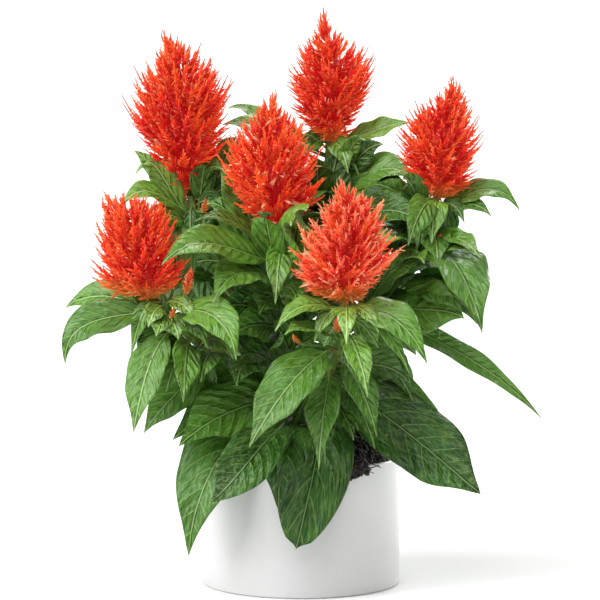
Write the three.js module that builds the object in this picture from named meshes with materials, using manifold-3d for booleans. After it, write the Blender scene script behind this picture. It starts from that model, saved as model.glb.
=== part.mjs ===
// A plume celosia in bloom, planted in a round white pot.
// One branching stem carries six feathery plumes, three flower buds and forty-three of the larger leaves.
// Millimetres, +Z up. The origin is the centre of the pot's foot, and -Y is the plant's showing side.
import * as THREE from "three";
import { mergeVertices } from "three/addons/utils/BufferGeometryUtils.js";
import Module from "manifold-3d";

const wasm = await Module();
wasm.setup();

// ---- Driving dimensions ----
const POT_DIAMETER = 125;
const POT_HEIGHT = 82;
const POT_WALL = 4;
const POT_FLOOR = 5; // thickness of the pot's floor
const EDGE = 0.8; // chamfer on the pot's lip and foot
const SOIL_HEAP = 16; // how far the root ball stands above the lip
const PLANTED = 30; // depth of the stem in the soil
const SOIL_INSET = 1.2; // how far inside the pot's outer edge the heap starts
const HEAP_RISE = 2; // upright edge of the heap above the lip
const LUMP = 1.1; // how much the heap's surface rises and falls
const SOCKET_PLAY = 0.7; // room round the stem in its socket, which the lean of the stem takes up
const GAP = 0.3; // clearance between pieces that touch
const LEAF_THICKNESS = 0.8;
const LEAF_EDGE = 0.5;
const PETIOLE_HALF_WIDTH = 1.3;
const PETIOLE_THICKNESS = 2;
const TIP_HALF_WIDTH = 0.35;

// Facets round each turned or lofted shape
const POT_SIDES = 44;
const SOIL_SIDES = 28;
const STEM_SIDES = 8;
const STEM_STEPS = 10;
const SPINDLE_SIDES = 7;
const BRANCH_SIDES = 4;
const BUD_SIDES = 7;

const POT_RADIUS = POT_DIAMETER / 2;
const SOIL_TOP = POT_HEIGHT + SOIL_HEAP;
const UP = new THREE.Vector3(0, 0, 1);

// Each kind of piece: its colour and how rough it is
const FINISHES = {
  pot: [0xf4f4f4, 0.3],
  soil: [0x2a1c15, 1],
  stem: [0x7d9a3f, 0.6],
  leaf: [0x3f7f2c, 0.5],
  plume: [0xe8351d, 0.7],
};

const vec = ([x, y, z]) => new THREE.Vector3(x, y, z);
const smooth = (from, to, x) => THREE.MathUtils.smoothstep(x, from, to);

// ---- Stems: each is one cubic curve; a side stem starts on the side of the centre one ----
// leaves: share of the centre stem where it branches off; slope: degrees above the level as it starts;
// out: how far it keeps to that slope; below: the point it rises from towards its end
const SIDE_RADII = [3, 2.4];
const CENTRE_STEM = {
  curve: new THREE.CubicBezierCurve3(
    vec([0, 0, SOIL_TOP - PLANTED + GAP]),
    vec([3, 2, 125]),
    vec([-13, -8, 170]),
    vec([-11, -12, 219]),
  ),
  radii: [5, 2.8],
};
const SIDE_STEMS = {
  upper_left: { leaves: 0.5, slope: 42, out: 34, below: [-62, 19, 192], end: [-69, 20, 242] },
  back: { leaves: 0.58, slope: 45, out: 26, below: [17, 50, 225], end: [18, 50, 276] },
  right: { leaves: 0.44, slope: 35, out: 38, below: [80, 14, 185], end: [86, 15, 243] },
  left: { leaves: 0.41, slope: 28, out: 34, below: [-76, -41, 152], end: [-86, -45, 188] },
  front: { leaves: 0.3, slope: 30, out: 24, below: [25, -65, 145], end: [28, -68, 190] },
};

// The way out of a stem, square to it, towards a target.
function outwards(curve, at, target) {
  const tangent = curve.getTangent(at);
  const away = vec(target).sub(curve.getPoint(at));
  return away.addScaledVector(tangent, -away.dot(tangent)).normalize();
}

function radiusAt(stem, at) {
  return THREE.MathUtils.lerp(stem.radii[0], stem.radii[1], at);
}

// Where a leaf or a side stem is seated: just off the stem's surface, with the way it leaves.
function seat(stem, at, target) {
  const away = outwards(stem.curve, at, target);
  const point = stem.curve.getPoint(at).addScaledVector(away, radiusAt(stem, at) + GAP);
  return { point, away };
}

function sideStem({ leaves, slope, out, below, end }) {
  const { point, away } = seat(CENTRE_STEM, leaves, end);
  const tilt = THREE.MathUtils.degToRad(slope);
  point.addScaledVector(away, SIDE_RADII[0] * Math.sin(tilt)); // room for the sloping end
  const knee = point.clone().addScaledVector(away, out * Math.cos(tilt));
  knee.addScaledVector(UP, out * Math.sin(tilt));
  return { curve: new THREE.CubicBezierCurve3(point, knee, vec(below), vec(end)), radii: SIDE_RADII };
}

const STEMS = { centre: CENTRE_STEM };
for (const [name, plan] of Object.entries(SIDE_STEMS)) STEMS[name] = sideStem(plan);

// ---- Plumes: the top of the flame, its widest radius, on the end of the stem of the same name ----
// tail: the share of the plume's height that stays as thin as a stalk
const PLUMES = {
  upper_left: { tip: [-87, 21, 346], radius: 34, tail: 0.16 },
  back: { tip: [13, 52, 358], radius: 27, tail: 0.03 },
  right: { tip: [96, 16, 318], radius: 26, tail: 0.04 },
  centre: { tip: [-18, -14, 312], radius: 33, tail: 0.12 },
  left: { tip: [-121, -46, 250], radius: 29, tail: 0 },
  front: { tip: [23, -72, 263], radius: 32, tail: 0 },
};
const PLUME_FOOT = 1.8; // radius where the plume meets its stem
const SPINDLE_SHARES = [0, 0.1, 0.22, 0.4, 0.6, 0.8, 1]; // heights of the spindle's rings
const SPINDLE_FULLNESS = 0.72; // its radius as a share of the flame's
const SPINDLE_LEAST = 0.5; // its least radius, at the tip
const BRANCHES = 15;
const BRANCH_FIRST = 0.06; // the lowest branch's start above the tail, as a share of the height
const BRANCH_SPREAD = 0.55; // the share of the height over which branches set off
const BRANCH_RISE = 0.25; // how much higher a branch ends than it starts
const BRANCH_LEAST = 0.35; // its least reach, as a share of the plume's radius
const BRANCH_RADII = [0.1, 0.24]; // at its start and at its thickest, as shares of the plume's radius
const BRANCH_THICKEST = 0.6; // where along the branch that is
const BRANCH_TIP = 0.6; // radius of its tip in millimetres
const GOLDEN_ANGLE = 2.39996;

// Buds: small unopened flower spikes in the leaf axils
const BUDS = {
  left_bud: { stem: "left", at: 0.9, tip: [-68, -60, 208], radius: 3.6 },
  front_bud: { stem: "front", at: 0.88, tip: [22, -84, 180], radius: 3.2 },
  right_bud: { stem: "right", at: 0.9, tip: [88, -8, 222], radius: 3.2 },
};
const BUD_KNEE = 0.35; // how far a bud's stalk runs out before it turns up, as a share of the bud's length

// ---- Leaves ----
// Each row is: the stem it grows from, where along that stem, the leaf's tip, its width, the way its upper
// side looks, its rise (how steeply it sets off) and its bow (how far it arches over), and any extras:
// out and reach say where along the leaf the rise and the bow act, swing bends it aside in millimetres,
// and blunt rounds its end. Rise, bow, out and reach are shares of the leaf's length.
const LEAVES = {
  left_leaf_1: ["left", 0.95, [-147, -52, 147], 25, [-0.3, -0.8, 0.6], 0, 0.52, { reach: 1.02 }],
  left_leaf_2: ["left", 0.87, [-148, -14, 177], 26, [-0.1, -0.8, 0.6], 0.2, 0.25],
  left_leaf_3: ["left", 0.8, [-104, -78, 108], 25, [-0.3, -0.9, 0.3], 0.15, 0.12, { swing: [-3, 0] }],
  left_leaf_4: ["left", 0.85, [-40, -92, 155], 27, [0.1, -0.8, 0.6], 0.22, 0.48, { reach: 0.9 }],
  left_leaf_5: ["left", 0.7, [-73, -84, 128], 20, [0.4, -0.85, 0.3], 0.2, 0.2],
  left_leaf_6: ["left", 0.55, [-98, -56, 104], 26, [-0.3, -0.9, 0.3], 0, 0.08],
  centre_leaf_1: ["centre", 0.345, [-88, -30, 126], 32, [-0.1, -0.8, 0.6], 0.1, 0.2],
  centre_leaf_2: [
    "centre", 0.285, [-70, -66, 28], 47, [-0.3, -0.8, 0.4], 0.1, 0.43, { reach: 1, swing: [2, 0] },
  ],
  centre_leaf_3: ["centre", 0.245, [-56, -94, 67], 34, [-0.1, -0.9, 0.5], 0.05, 0.03, { swing: [0, -51] }],
  centre_leaf_4: ["centre", 0.3, [-76, -76, 99], 41, [-0.2, -0.9, 0.35], 0.1, 0.12],
  centre_leaf_5: [
    "centre", 0.2, [-3, -76, 34], 47, [0, -1, 0.2], 0.1, 0.6, { swing: [18, -8], blunt: true },
  ],
  centre_leaf_6: [
    "centre", 0.42, [112, -64, 67], 46, [0, -0.85, 0.5], -0.1, 0.01, { out: 0.4, reach: 0.84 },
  ],
  centre_leaf_7: ["centre", 0.9, [-86, -88, 214], 26, [-0.1, -0.8, 0.6], 0.1, 0.27],
  centre_leaf_8: ["centre", 0.84, [-55, -76, 188], 30, [-0.2, -0.8, 0.5], 0.1, 0.33],
  centre_leaf_9: ["centre", 0.95, [-16, -56, 185], 17, [0.1, -0.9, 0.3], 0.2, 0.35],
  centre_leaf_10: ["centre", 0.96, [-66, -40, 235], 15, [0, -0.5, 0.9], 0.2, 0.25],
  front_leaf_1: ["front", 0.72, [-32, -112, 104], 33, [-0.3, -0.85, 0.4], 0.12, 0.14],
  front_leaf_2: ["front", 0.55, [11, -98, 88], 24, [-0.4, -0.8, 0.3], 0.1, 0.3],
  front_leaf_3: ["front", 0.66, [47, -82, 106], 20, [0.3, -0.8, 0.4], 0.1, 0.25],
  front_leaf_4: ["front", 0.83, [41, -116, 137], 17, [0.2, -0.9, 0.35], 0.15, 0.2],
  front_leaf_5: ["front", 0.92, [78, -92, 153], 25, [0.1, -0.7, 0.7], 0.2, 0.4],
  front_leaf_6: ["front", 0.8, [-10, -104, 173], 16, [-0.1, -0.6, 0.8], 0.1, 0.2],
  front_leaf_7: ["front", 0.94, [-16, -96, 174], 15, [-0.2, -0.6, 0.7], 0.15, 0.35],
  right_leaf_1: ["right", 0.4, [152, -12, 106], 16, [0.25, -0.75, 0.6], 0.2, 0.14],
  right_leaf_2: ["right", 0.78, [113, -54, 167], 38, [0.4, -0.8, 0.45], 0.15, 0.31],
  right_leaf_3: ["right", 0.5, [102, -40, 174], 41, [0, -0.9, 0.35], 0, 0.1],
  right_leaf_4: ["right", 0.85, [112, -34, 211], 16, [0.1, -0.6, 0.8], 0.1, 0.2],
  right_leaf_5: ["right", 0.96, [138, 6, 236], 18, [0, -0.6, 0.8], 0.2, 0.5],
  right_leaf_6: ["right", 0.97, [82, -18, 218], 17, [0, -0.9, 0.3], 0.3, 0.3],
  right_leaf_7: ["right", 0.42, [79, -30, 211], 24, [-0.1, -0.7, 0.7], 0.3, 0.2],
  back_leaf_1: ["back", 0.985, [69, 40, 288], 18, [0, -0.6, 0.8], 0.05, 0.08],
  back_leaf_2: ["back", 0.66, [67, 10, 251], 20, [0, -0.6, 0.8], 0.3, 0.3],
  back_leaf_3: ["back", 0.5, [81, -18, 227], 24, [0.1, -0.8, 0.5], 0.3, 0.3],
  back_leaf_4: ["back", 0.9, [-47, 60, 295], 15, [0, -0.5, 0.8], 0.1, 0.25],
  upper_left_leaf_1: ["upper_left", 0.93, [-114, 0, 238], 18, [-0.1, -0.6, 0.8], 0.25, 0.5],
  upper_left_leaf_2: ["upper_left", 0.97, [-105, 30, 256], 14, [-0.2, -0.5, 0.8], 0.3, 0.6],
  rear_leaf_1: ["centre", 0.31, [-58, 98, 58], 46, [-0.3, 0.7, 0.6], 0.3, 0.5],
  rear_leaf_2: ["centre", 0.28, [22, 112, 44], 50, [0, 0.8, 0.5], 0.3, 0.5],
  rear_leaf_3: ["centre", 0.36, [78, 88, 70], 42, [0.5, 0.6, 0.6], 0.3, 0.4],
  rear_leaf_4: ["upper_left", 0.6, [-92, 84, 146], 36, [-0.4, 0.7, 0.6], 0.1, 0.4],
  rear_leaf_5: ["back", 0.45, [-14, 118, 160], 36, [0, 0.8, 0.6], 0.2, 0.4],
  rear_leaf_6: ["right", 0.75, [92, 84, 168], 36, [0.3, 0.7, 0.6], 0.2, 0.4],
  rear_leaf_7: ["back", 0.75, [58, 100, 200], 30, [0.2, 0.7, 0.6], 0.2, 0.4],
};
const PETIOLE_SHARE = 0.14;
const BLADE_STATIONS = [0.06, 0.18, 0.34, 0.52, 0.7, 0.88, 1];
const POINTED = { base: 0.7, end: 1.05 };
const BLUNT = { base: 1.1, end: 0.6 };
const FOLD = 0.22; // how much the blade's edges lift above the midrib, as a share of the half width

// ---- Solids ----
// A closed body from rings with the same number of points each, joined end to end, with fans over both ends.
function loft(rings) {
  const count = rings[0].length;
  const points = rings.flat();
  const index = [];
  for (let r = 0; r + 1 < rings.length; r += 1) {
    for (let i = 0; i < count; i += 1) {
      const a = r * count + i;
      const b = r * count + ((i + 1) % count);
      index.push(a, b, b + count, a, b + count, a + count);
    }
  }
  const last = (rings.length - 1) * count;
  for (let i = 1; i + 1 < count; i += 1) index.push(0, i + 1, i, last, last + i, last + i + 1);
  const geometry = new THREE.BufferGeometry().setFromPoints(points);
  geometry.setIndex(index);
  return geometry;
}

// A ring of points round a centre, square to a direction.
function ring(centre, direction, radius, sides, turn = 0) {
  const reference = Math.abs(direction.z) > 0.9 ? new THREE.Vector3(1, 0, 0) : UP;
  const side = new THREE.Vector3().crossVectors(reference, direction).normalize();
  const other = new THREE.Vector3().crossVectors(direction, side);
  return Array.from({ length: sides }, (_, i) => {
    const angle = turn + (2 * Math.PI * i) / sides;
    const point = centre.clone().addScaledVector(side, radius * Math.cos(angle));
    return point.addScaledVector(other, radius * Math.sin(angle));
  });
}

// A tapering tube along a stem's curve, its frames carried along without twisting.
function stemSolid({ curve, radii }) {
  const frames = curve.computeFrenetFrames(STEM_STEPS, false);
  const rings = Array.from({ length: STEM_STEPS + 1 }, (_, k) => {
    const radius = THREE.MathUtils.lerp(radii[0], radii[1], k / STEM_STEPS);
    const centre = curve.getPointAt(k / STEM_STEPS);
    return Array.from({ length: STEM_SIDES }, (_, i) => {
      const angle = (2 * Math.PI * i) / STEM_SIDES;
      return centre
        .clone()
        .addScaledVector(frames.normals[k], radius * Math.cos(angle))
        .addScaledVector(frames.binormals[k], radius * Math.sin(angle));
    });
  });
  return loft(rings);
}

// Half the blade's width at a share of its length, as a share of its greatest.
function outline(share, { base, end }) {
  const widest = base / (base + end);
  return (share / widest) ** base * ((1 - share) / (1 - widest)) ** end;
}

function leafCurve([stem, at, tip, , , rise, bow, { out = 0.3, reach = 0.7, swing = [0, 0] } = {}]) {
  const { point, away } = seat(STEMS[stem], at, tip);
  const end = vec(tip);
  const length = point.distanceTo(end);
  const aside = vec([...swing, 0]);
  const first = point.clone().addScaledVector(away, out * length).add(aside);
  const second = point.clone().lerp(end, reach).add(aside);
  first.z += rise * length;
  second.z += bow * length;
  return { curve: new THREE.CubicBezierCurve3(point, first, second, end), away };
}

// A leaf as one folded plate with its stalk: six points a section, three above and three below.
function leafSolid(row) {
  const [, , , width, looks, , , { blunt = false } = {}] = row;
  const { curve, away } = leafCurve(row);
  const shape = blunt ? BLUNT : POINTED;
  const face = vec(looks);
  const section = (share, halfWidth, fold, thick, thin, direction) => {
    const tangent = direction ?? curve.getTangent(share);
    const normal = face.clone().addScaledVector(tangent, -face.dot(tangent)).normalize();
    const side = new THREE.Vector3().crossVectors(normal, tangent);
    const middle = curve.getPoint(share);
    const place = (across, up) => middle.clone().addScaledVector(side, across).addScaledVector(normal, up);
    const lift = fold * halfWidth;
    return [
      place(halfWidth, lift + thin / 2),
      place(0, thick / 2),
      place(-halfWidth, lift + thin / 2),
      place(-halfWidth, lift - thin / 2),
      place(0, -thick / 2),
      place(halfWidth, lift - thin / 2),
    ];
  };
  const stalk = [PETIOLE_HALF_WIDTH, 0, PETIOLE_THICKNESS, PETIOLE_THICKNESS * 0.6];
  const rings = [section(0, ...stalk, away), section(PETIOLE_SHARE, ...stalk)];
  for (const station of BLADE_STATIONS) {
    const share = PETIOLE_SHARE + (1 - PETIOLE_SHARE) * station;
    const half = Math.max(TIP_HALF_WIDTH, (width / 2) * outline(station, shape));
    const body = 1 - smooth(0, 0.3, station);
    rings.push(section(share, half, FOLD, LEAF_THICKNESS + body, LEAF_EDGE));
  }
  return loft(rings);
}

// The flame's radius at a share of its height, as a share of its greatest.
function flame(share, tail) {
  const body = Math.max(0, (share - tail) / (1 - tail));
  return 0.12 * (1 - share) + 1.05 * Math.sin(Math.PI * body ** 0.75) * (1 - 0.35 * body);
}

function solidOf(geometry) {
  const merged = mergeVertices(new THREE.BufferGeometry().copy(geometry), 1e-4);
  const mesh = new wasm.Mesh({
    numProp: 3,
    vertProperties: merged.attributes.position.array,
    triVerts: new Uint32Array(merged.index.array),
  });
  return new wasm.Manifold(mesh);
}

function geometryOf(solid) {
  const mesh = solid.getMesh();
  return new THREE.BufferGeometry()
    .setAttribute("position", new THREE.BufferAttribute(mesh.vertProperties, 3))
    .setIndex(new THREE.BufferAttribute(mesh.triVerts, 1));
}

// A plume: a spindle round its axis with pointed side spikes all round it, joined in one solid.
function plumeSolid(stem, { tip, radius, tail }) {
  const foot = stem.curve.getPoint(1).addScaledVector(stem.curve.getTangent(1), GAP * 2);
  const axis = vec(tip).sub(foot);
  const height = axis.length();
  axis.normalize();
  const onAxis = (share) => foot.clone().addScaledVector(axis, share * height);
  const spindle = SPINDLE_SHARES.map((share) => {
    const fullness = Math.max(SPINDLE_LEAST, SPINDLE_FULLNESS * radius * flame(share, tail));
    return ring(onAxis(share), axis, share === 0 ? PLUME_FOOT : fullness, SPINDLE_SIDES);
  });
  let solid = solidOf(loft(spindle));
  for (let i = 0; i < BRANCHES; i += 1) {
    const low = tail + BRANCH_FIRST + (BRANCH_SPREAD * i) / BRANCHES;
    const high = low + BRANCH_RISE;
    const aside = ring(new THREE.Vector3(), axis, 1, 1, i * GOLDEN_ANGLE)[0];
    const from = onAxis(low);
    const to = onAxis(high).addScaledVector(aside, radius * Math.max(BRANCH_LEAST, flame(high, tail)));
    const way = to.clone().sub(from).normalize();
    const rings = [
      ring(from, way, BRANCH_RADII[0] * radius, BRANCH_SIDES),
      ring(from.clone().lerp(to, BRANCH_THICKEST), way, BRANCH_RADII[1] * radius, BRANCH_SIDES),
      ring(to, way, BRANCH_TIP, BRANCH_SIDES),
    ];
    solid = solid.add(solidOf(loft(rings)));
  }
  return geometryOf(solid);
}

function budSolid({ stem, at, tip, radius }) {
  const { point, away } = seat(STEMS[stem], at, tip);
  const end = vec(tip);
  const length = point.distanceTo(end);
  const knee = point.clone().addScaledVector(away, BUD_KNEE * length);
  const curve = new THREE.QuadraticBezierCurve3(point, knee, end);
  const profile = [[0, 1], [0.3, 1.1], [0.5, radius], [0.75, 0.75 * radius], [1, 0.4]]; // [share, radius]
  return loft(
    profile.map(([share, r]) => {
      const way = share === 0 ? away : curve.getTangent(share);
      return ring(curve.getPoint(share), way, r, BUD_SIDES);
    }),
  );
}

// A profile of [radius, height] pairs spun about the upright axis.
function turned(profile, sides) {
  const points = profile.map(([x, y]) => new THREE.Vector2(x, y));
  return new THREE.LatheGeometry(points, sides).rotateX(Math.PI / 2);
}

// The pot: a straight round wall and a flat floor, chamfered at the lip and the foot.
function potSolid() {
  const r = POT_RADIUS;
  const inner = r - POT_WALL;
  const profile = [
    [0, 0], [r - EDGE, 0], [r, EDGE], [r, POT_HEIGHT - EDGE], [r - EDGE, POT_HEIGHT],
    [inner, POT_HEIGHT], [inner, POT_FLOOR], [0, POT_FLOOR],
  ];
  return turned(profile, POT_SIDES);
}

// The root ball: fills the pot, heaps up over its lip, and has a socket for the stem.
function soilSolid() {
  const inner = POT_RADIUS - POT_WALL - GAP;
  const over = POT_RADIUS - SOIL_INSET;
  const socket = radiusAt(CENTRE_STEM, 0) + SOCKET_PLAY;
  const shoulder = POT_HEIGHT + GAP + HEAP_RISE;
  const heap = [1, 0.93, 0.78, 0.6, 0.42, 0.25].map((share) => [
    socket + share * (over - socket),
    shoulder + (SOIL_TOP - shoulder) * Math.sqrt(1 - share * share),
  ]);
  const profile = [
    [0, POT_FLOOR + GAP], [inner, POT_FLOOR + GAP], [inner, POT_HEIGHT + GAP], [over, POT_HEIGHT + GAP],
    ...heap, [socket, SOIL_TOP], [socket, SOIL_TOP - PLANTED], [0, SOIL_TOP - PLANTED],
  ];
  const geometry = turned(profile, SOIL_SIDES);
  const places = geometry.getAttribute("position");
  for (let i = 0; i < places.count; i += 1) {
    const [x, y, z] = [places.getX(i), places.getY(i), places.getZ(i)];
    const reach = Math.hypot(x, y);
    if (z > POT_HEIGHT + HEAP_RISE && reach > socket + 1) {
      const wave = Math.sin(0.19 * x + 1) * Math.cos(0.23 * y);
      places.setZ(i, z + LUMP * wave * smooth(socket, 2 * socket, reach));
    }
  }
  return geometry;
}

// ---- The plant ----
const celosia = new THREE.Group();

function place(name, geometry, kind) {
  const [color, roughness] = FINISHES[kind];
  const mesh = new THREE.Mesh(geometry, new THREE.MeshStandardMaterial({ color, roughness, metalness: 0 }));
  mesh.name = name;
  celosia.add(mesh);
}

place("pot", potSolid(), "pot");
place("soil", soilSolid(), "soil");
for (const [name, stem] of Object.entries(STEMS)) {
  place(`${name}_stem`, stemSolid(stem), "stem");
  place(`${name}_plume`, plumeSolid(stem, PLUMES[name]), "plume");
}
for (const [name, plan] of Object.entries(BUDS)) place(name, budSolid(plan), "plume");
for (const [name, row] of Object.entries(LEAVES)) place(name, leafSolid(row), "leaf");

export default celosia;
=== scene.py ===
"""A plume celosia in bloom, planted in a round white pot, on a plain pale floor.

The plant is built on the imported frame: every leaf, stem, plume and bud stands where its solid stands.
Lengths are millimetres while a shape is worked out, and metres once it is a mesh.
"""

import logging
import math
from abc import ABC, abstractmethod
from dataclasses import dataclass, field
from enum import Enum

import bpy
import numpy as np
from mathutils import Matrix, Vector
from mathutils.bvhtree import BVHTree


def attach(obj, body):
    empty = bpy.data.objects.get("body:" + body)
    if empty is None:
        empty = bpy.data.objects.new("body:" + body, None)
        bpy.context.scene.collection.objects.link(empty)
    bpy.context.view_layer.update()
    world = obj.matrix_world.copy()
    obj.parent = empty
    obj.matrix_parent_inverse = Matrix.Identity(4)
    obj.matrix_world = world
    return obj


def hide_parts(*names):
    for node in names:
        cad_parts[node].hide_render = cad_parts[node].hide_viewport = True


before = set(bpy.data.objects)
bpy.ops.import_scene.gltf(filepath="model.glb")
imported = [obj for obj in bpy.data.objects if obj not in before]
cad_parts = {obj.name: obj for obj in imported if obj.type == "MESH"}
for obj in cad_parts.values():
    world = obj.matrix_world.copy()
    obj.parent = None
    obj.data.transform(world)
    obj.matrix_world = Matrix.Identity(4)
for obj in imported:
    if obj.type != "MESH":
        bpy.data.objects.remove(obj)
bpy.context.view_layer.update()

log = logging.getLogger("celosia")

MM = 0.001
GOLDEN_ANGLE = math.pi * (3 - math.sqrt(5))
GOLDEN_SHARE = 0.618
UP = np.array([0.0, 0.0, 1.0])
NODE_FAMILIES = ("ShaderNode", "GeometryNode", "FunctionNode", "")

# ---- Driving sizes, in millimetres ----
POT_DIAMETER = 125.0
POT_HEIGHT = 82.0
POT_WALL = 4.0
POT_FLOOR = 5.0
SOIL_TOP = 98.0
PLANTED = 30.0  # depth of the stem in the soil
GAP = 0.3  # clearance between the frame's solids


class Slot(Enum):
    """The record's material slots."""

    POT = "pot"
    SOIL = "soil"
    STEM = "stem"
    LEAF = "leaf"
    PLUME = "plume"


# ---- Small tools ----
def linear(code: str) -> tuple[float, float, float, float]:
    """Turns an sRGB hex colour into a linear one.

    Args:
        code: the colour, such as "#3F7A2A".

    Returns:
        Red, green, blue and an alpha of one.
    """
    parts = [int(code[i : i + 2], 16) / 255 for i in (1, 3, 5)]
    red, green, blue = (x / 12.92 if x <= 0.04045 else ((x + 0.055) / 1.055) ** 2.4 for x in parts)
    return red, green, blue, 1.0


def smooth(low: float, high: float, x: np.ndarray | float) -> np.ndarray | float:
    """Eases from 0 at low to 1 at high.

    Args:
        low: where the ease starts.
        high: where it ends.
        x: the values to ease.

    Returns:
        The eased values, each from 0 to 1.
    """
    t = np.clip((x - low) / (high - low), 0, 1)
    return t * t * (3 - 2 * t)


def unit(v: np.ndarray) -> np.ndarray:
    """Scales each vector along the last axis to a length of one."""
    return v / np.maximum(np.linalg.norm(v, axis=-1, keepdims=True), 1e-9)


def add(
    tree: bpy.types.NodeTree, kind: str, sockets: dict[str | int, object] | None = None, **settings: object
) -> bpy.types.Node:
    """Adds a node with its settings, values and links.

    Args:
        tree: the node tree it goes in.
        kind: the node's type name without its family, and after a dot its operation, such as Math.ADD.
        sockets: for each input, by name or place, a value or the output that it is linked to.
        settings: the node's own properties.

    Returns:
        The new node.
    """
    kind, _, operation = kind.partition(".")
    family = next(name for name in NODE_FAMILIES if hasattr(bpy.types, name + kind))
    node = tree.nodes.new(family + kind)
    if operation:
        node.operation = operation
    for name, value in settings.items():
        setattr(node, name, value)
    for key, value in (sockets or {}).items():
        if isinstance(value, bpy.types.NodeSocket):
            tree.links.new(value, node.inputs[key])
        else:
            node.inputs[key].default_value = value
    return node


def mesh_object(
    name: str, points: np.ndarray, faces: list[list[int]], values: dict[str, np.ndarray] | None = None
) -> bpy.types.Object:
    """Makes an object from points in millimetres.

    Args:
        name: the object's name.
        points: one row a vertex.
        faces: the vertices of each face, or of each edge where they come in pairs.
        values: named attributes, one number or one vector a vertex.

    Returns:
        The object, at the origin, in the scene.
    """
    mesh = bpy.data.meshes.new(name)
    pairs = len(faces[0]) == 2
    mesh.from_pydata((points * MM).tolist(), faces if pairs else [], [] if pairs else faces)
    for label, array in (values or {}).items():
        vector = array.ndim == 2
        attribute = mesh.attributes.new(label, "FLOAT_VECTOR" if vector else "FLOAT", "POINT")
        attribute.data.foreach_set("vector" if vector else "value", array.astype(np.float32).ravel())
    mesh.shade_smooth()
    made = bpy.data.objects.new(name, mesh)
    bpy.context.scene.collection.objects.link(made)
    return made


def seat(piece: bpy.types.Object, stands_for: list[str] | None = None) -> None:
    """Fixes a finished piece to the object.

    Args:
        piece: the finished mesh object.
        stands_for: the frame's nodes that it replaces.
    """
    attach(piece, "root")
    if stands_for:
        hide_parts(*stands_for)
    piece.data.update()
    triangles = sum(len(p.vertices) - 2 for p in piece.data.polygons)
    log.info("%s: %d triangles", piece.name, triangles)


class Wiring(ABC):
    """A node tree and one way to add to it, which geometry trees and finishes share."""

    title: str
    tree: bpy.types.NodeTree

    def put(self, kind: str, *values: object, **settings: object) -> bpy.types.NodeSocket:
        """Adds a node of any kind with its inputs in order, and gives its first output."""
        return add(self.tree, kind, dict(enumerate(values)), **settings).outputs[0]


# ---- Geometry node trees ----
class GrowthTree(Wiring):
    """A geometry node tree with named inputs, which shapes one kind of piece."""

    inputs: dict[str, str]

    def __init__(self) -> None:
        """Builds the tree with its named inputs."""
        self.tree = bpy.data.node_groups.new(self.title, "GeometryNodeTree")
        face = self.tree.interface
        face.new_socket("Geometry", in_out="INPUT", socket_type="NodeSocketGeometry")
        for name, kind in self.inputs.items():
            face.new_socket(name, in_out="INPUT", socket_type=f"NodeSocket{kind}")
        face.new_socket("Geometry", in_out="OUTPUT", socket_type="NodeSocketGeometry")
        self.given = add(self.tree, "NodeGroupInput").outputs
        realized = self.put("RealizeInstances", self.shape())
        smoothed = self.put("SetShadeSmooth", realized)
        dressed = {"Geometry": smoothed, "Material": self.given["Material"]}
        dressed = add(self.tree, "SetMaterial", dressed).outputs[0]
        add(self.tree, "NodeGroupOutput", {"Geometry": dressed})

    @abstractmethod
    def shape(self) -> bpy.types.NodeSocket:
        """Adds the nodes that make the shape.

        Returns:
            The geometry output to realize and dress.
        """

    def chance(self, low: float, high: float, shift: int) -> bpy.types.NodeSocket:
        """Draws a number for each element.

        Args:
            low: the least it may be.
            high: the most it may be.
            shift: what is added to the tree's seed.

        Returns:
            The number.
        """
        seed = self.put("Math.ADD", self.given["Seed"], shift)
        node = add(self.tree, "RandomValue", {"Seed": seed})
        node.inputs[2].default_value = low
        node.inputs[3].default_value = high
        return node.outputs[1]

    def grow(self, piece: bpy.types.Object, **values: object) -> bpy.types.Object:
        """Runs the tree on a piece and keeps the result as its plain mesh.

        Args:
            piece: the object whose mesh is the tree's geometry.
            values: the named inputs, with _ for a space.

        Returns:
            The same object.
        """
        modifier = piece.modifiers.new(self.title, "NODES")
        modifier.node_group = self.tree
        keys = {s.name: s.identifier for s in self.tree.interface.items_tree if s.in_out == "INPUT"}
        for name, value in values.items():
            modifier[keys[name.replace("_", " ")]] = value
        view = bpy.context.evaluated_depsgraph_get()
        grown = bpy.data.meshes.new_from_object(piece.evaluated_get(view), depsgraph=view)
        piece.modifiers.remove(modifier)
        old = piece.data
        piece.data = grown
        bpy.data.meshes.remove(old)
        grown.name = piece.name
        return piece


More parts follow.
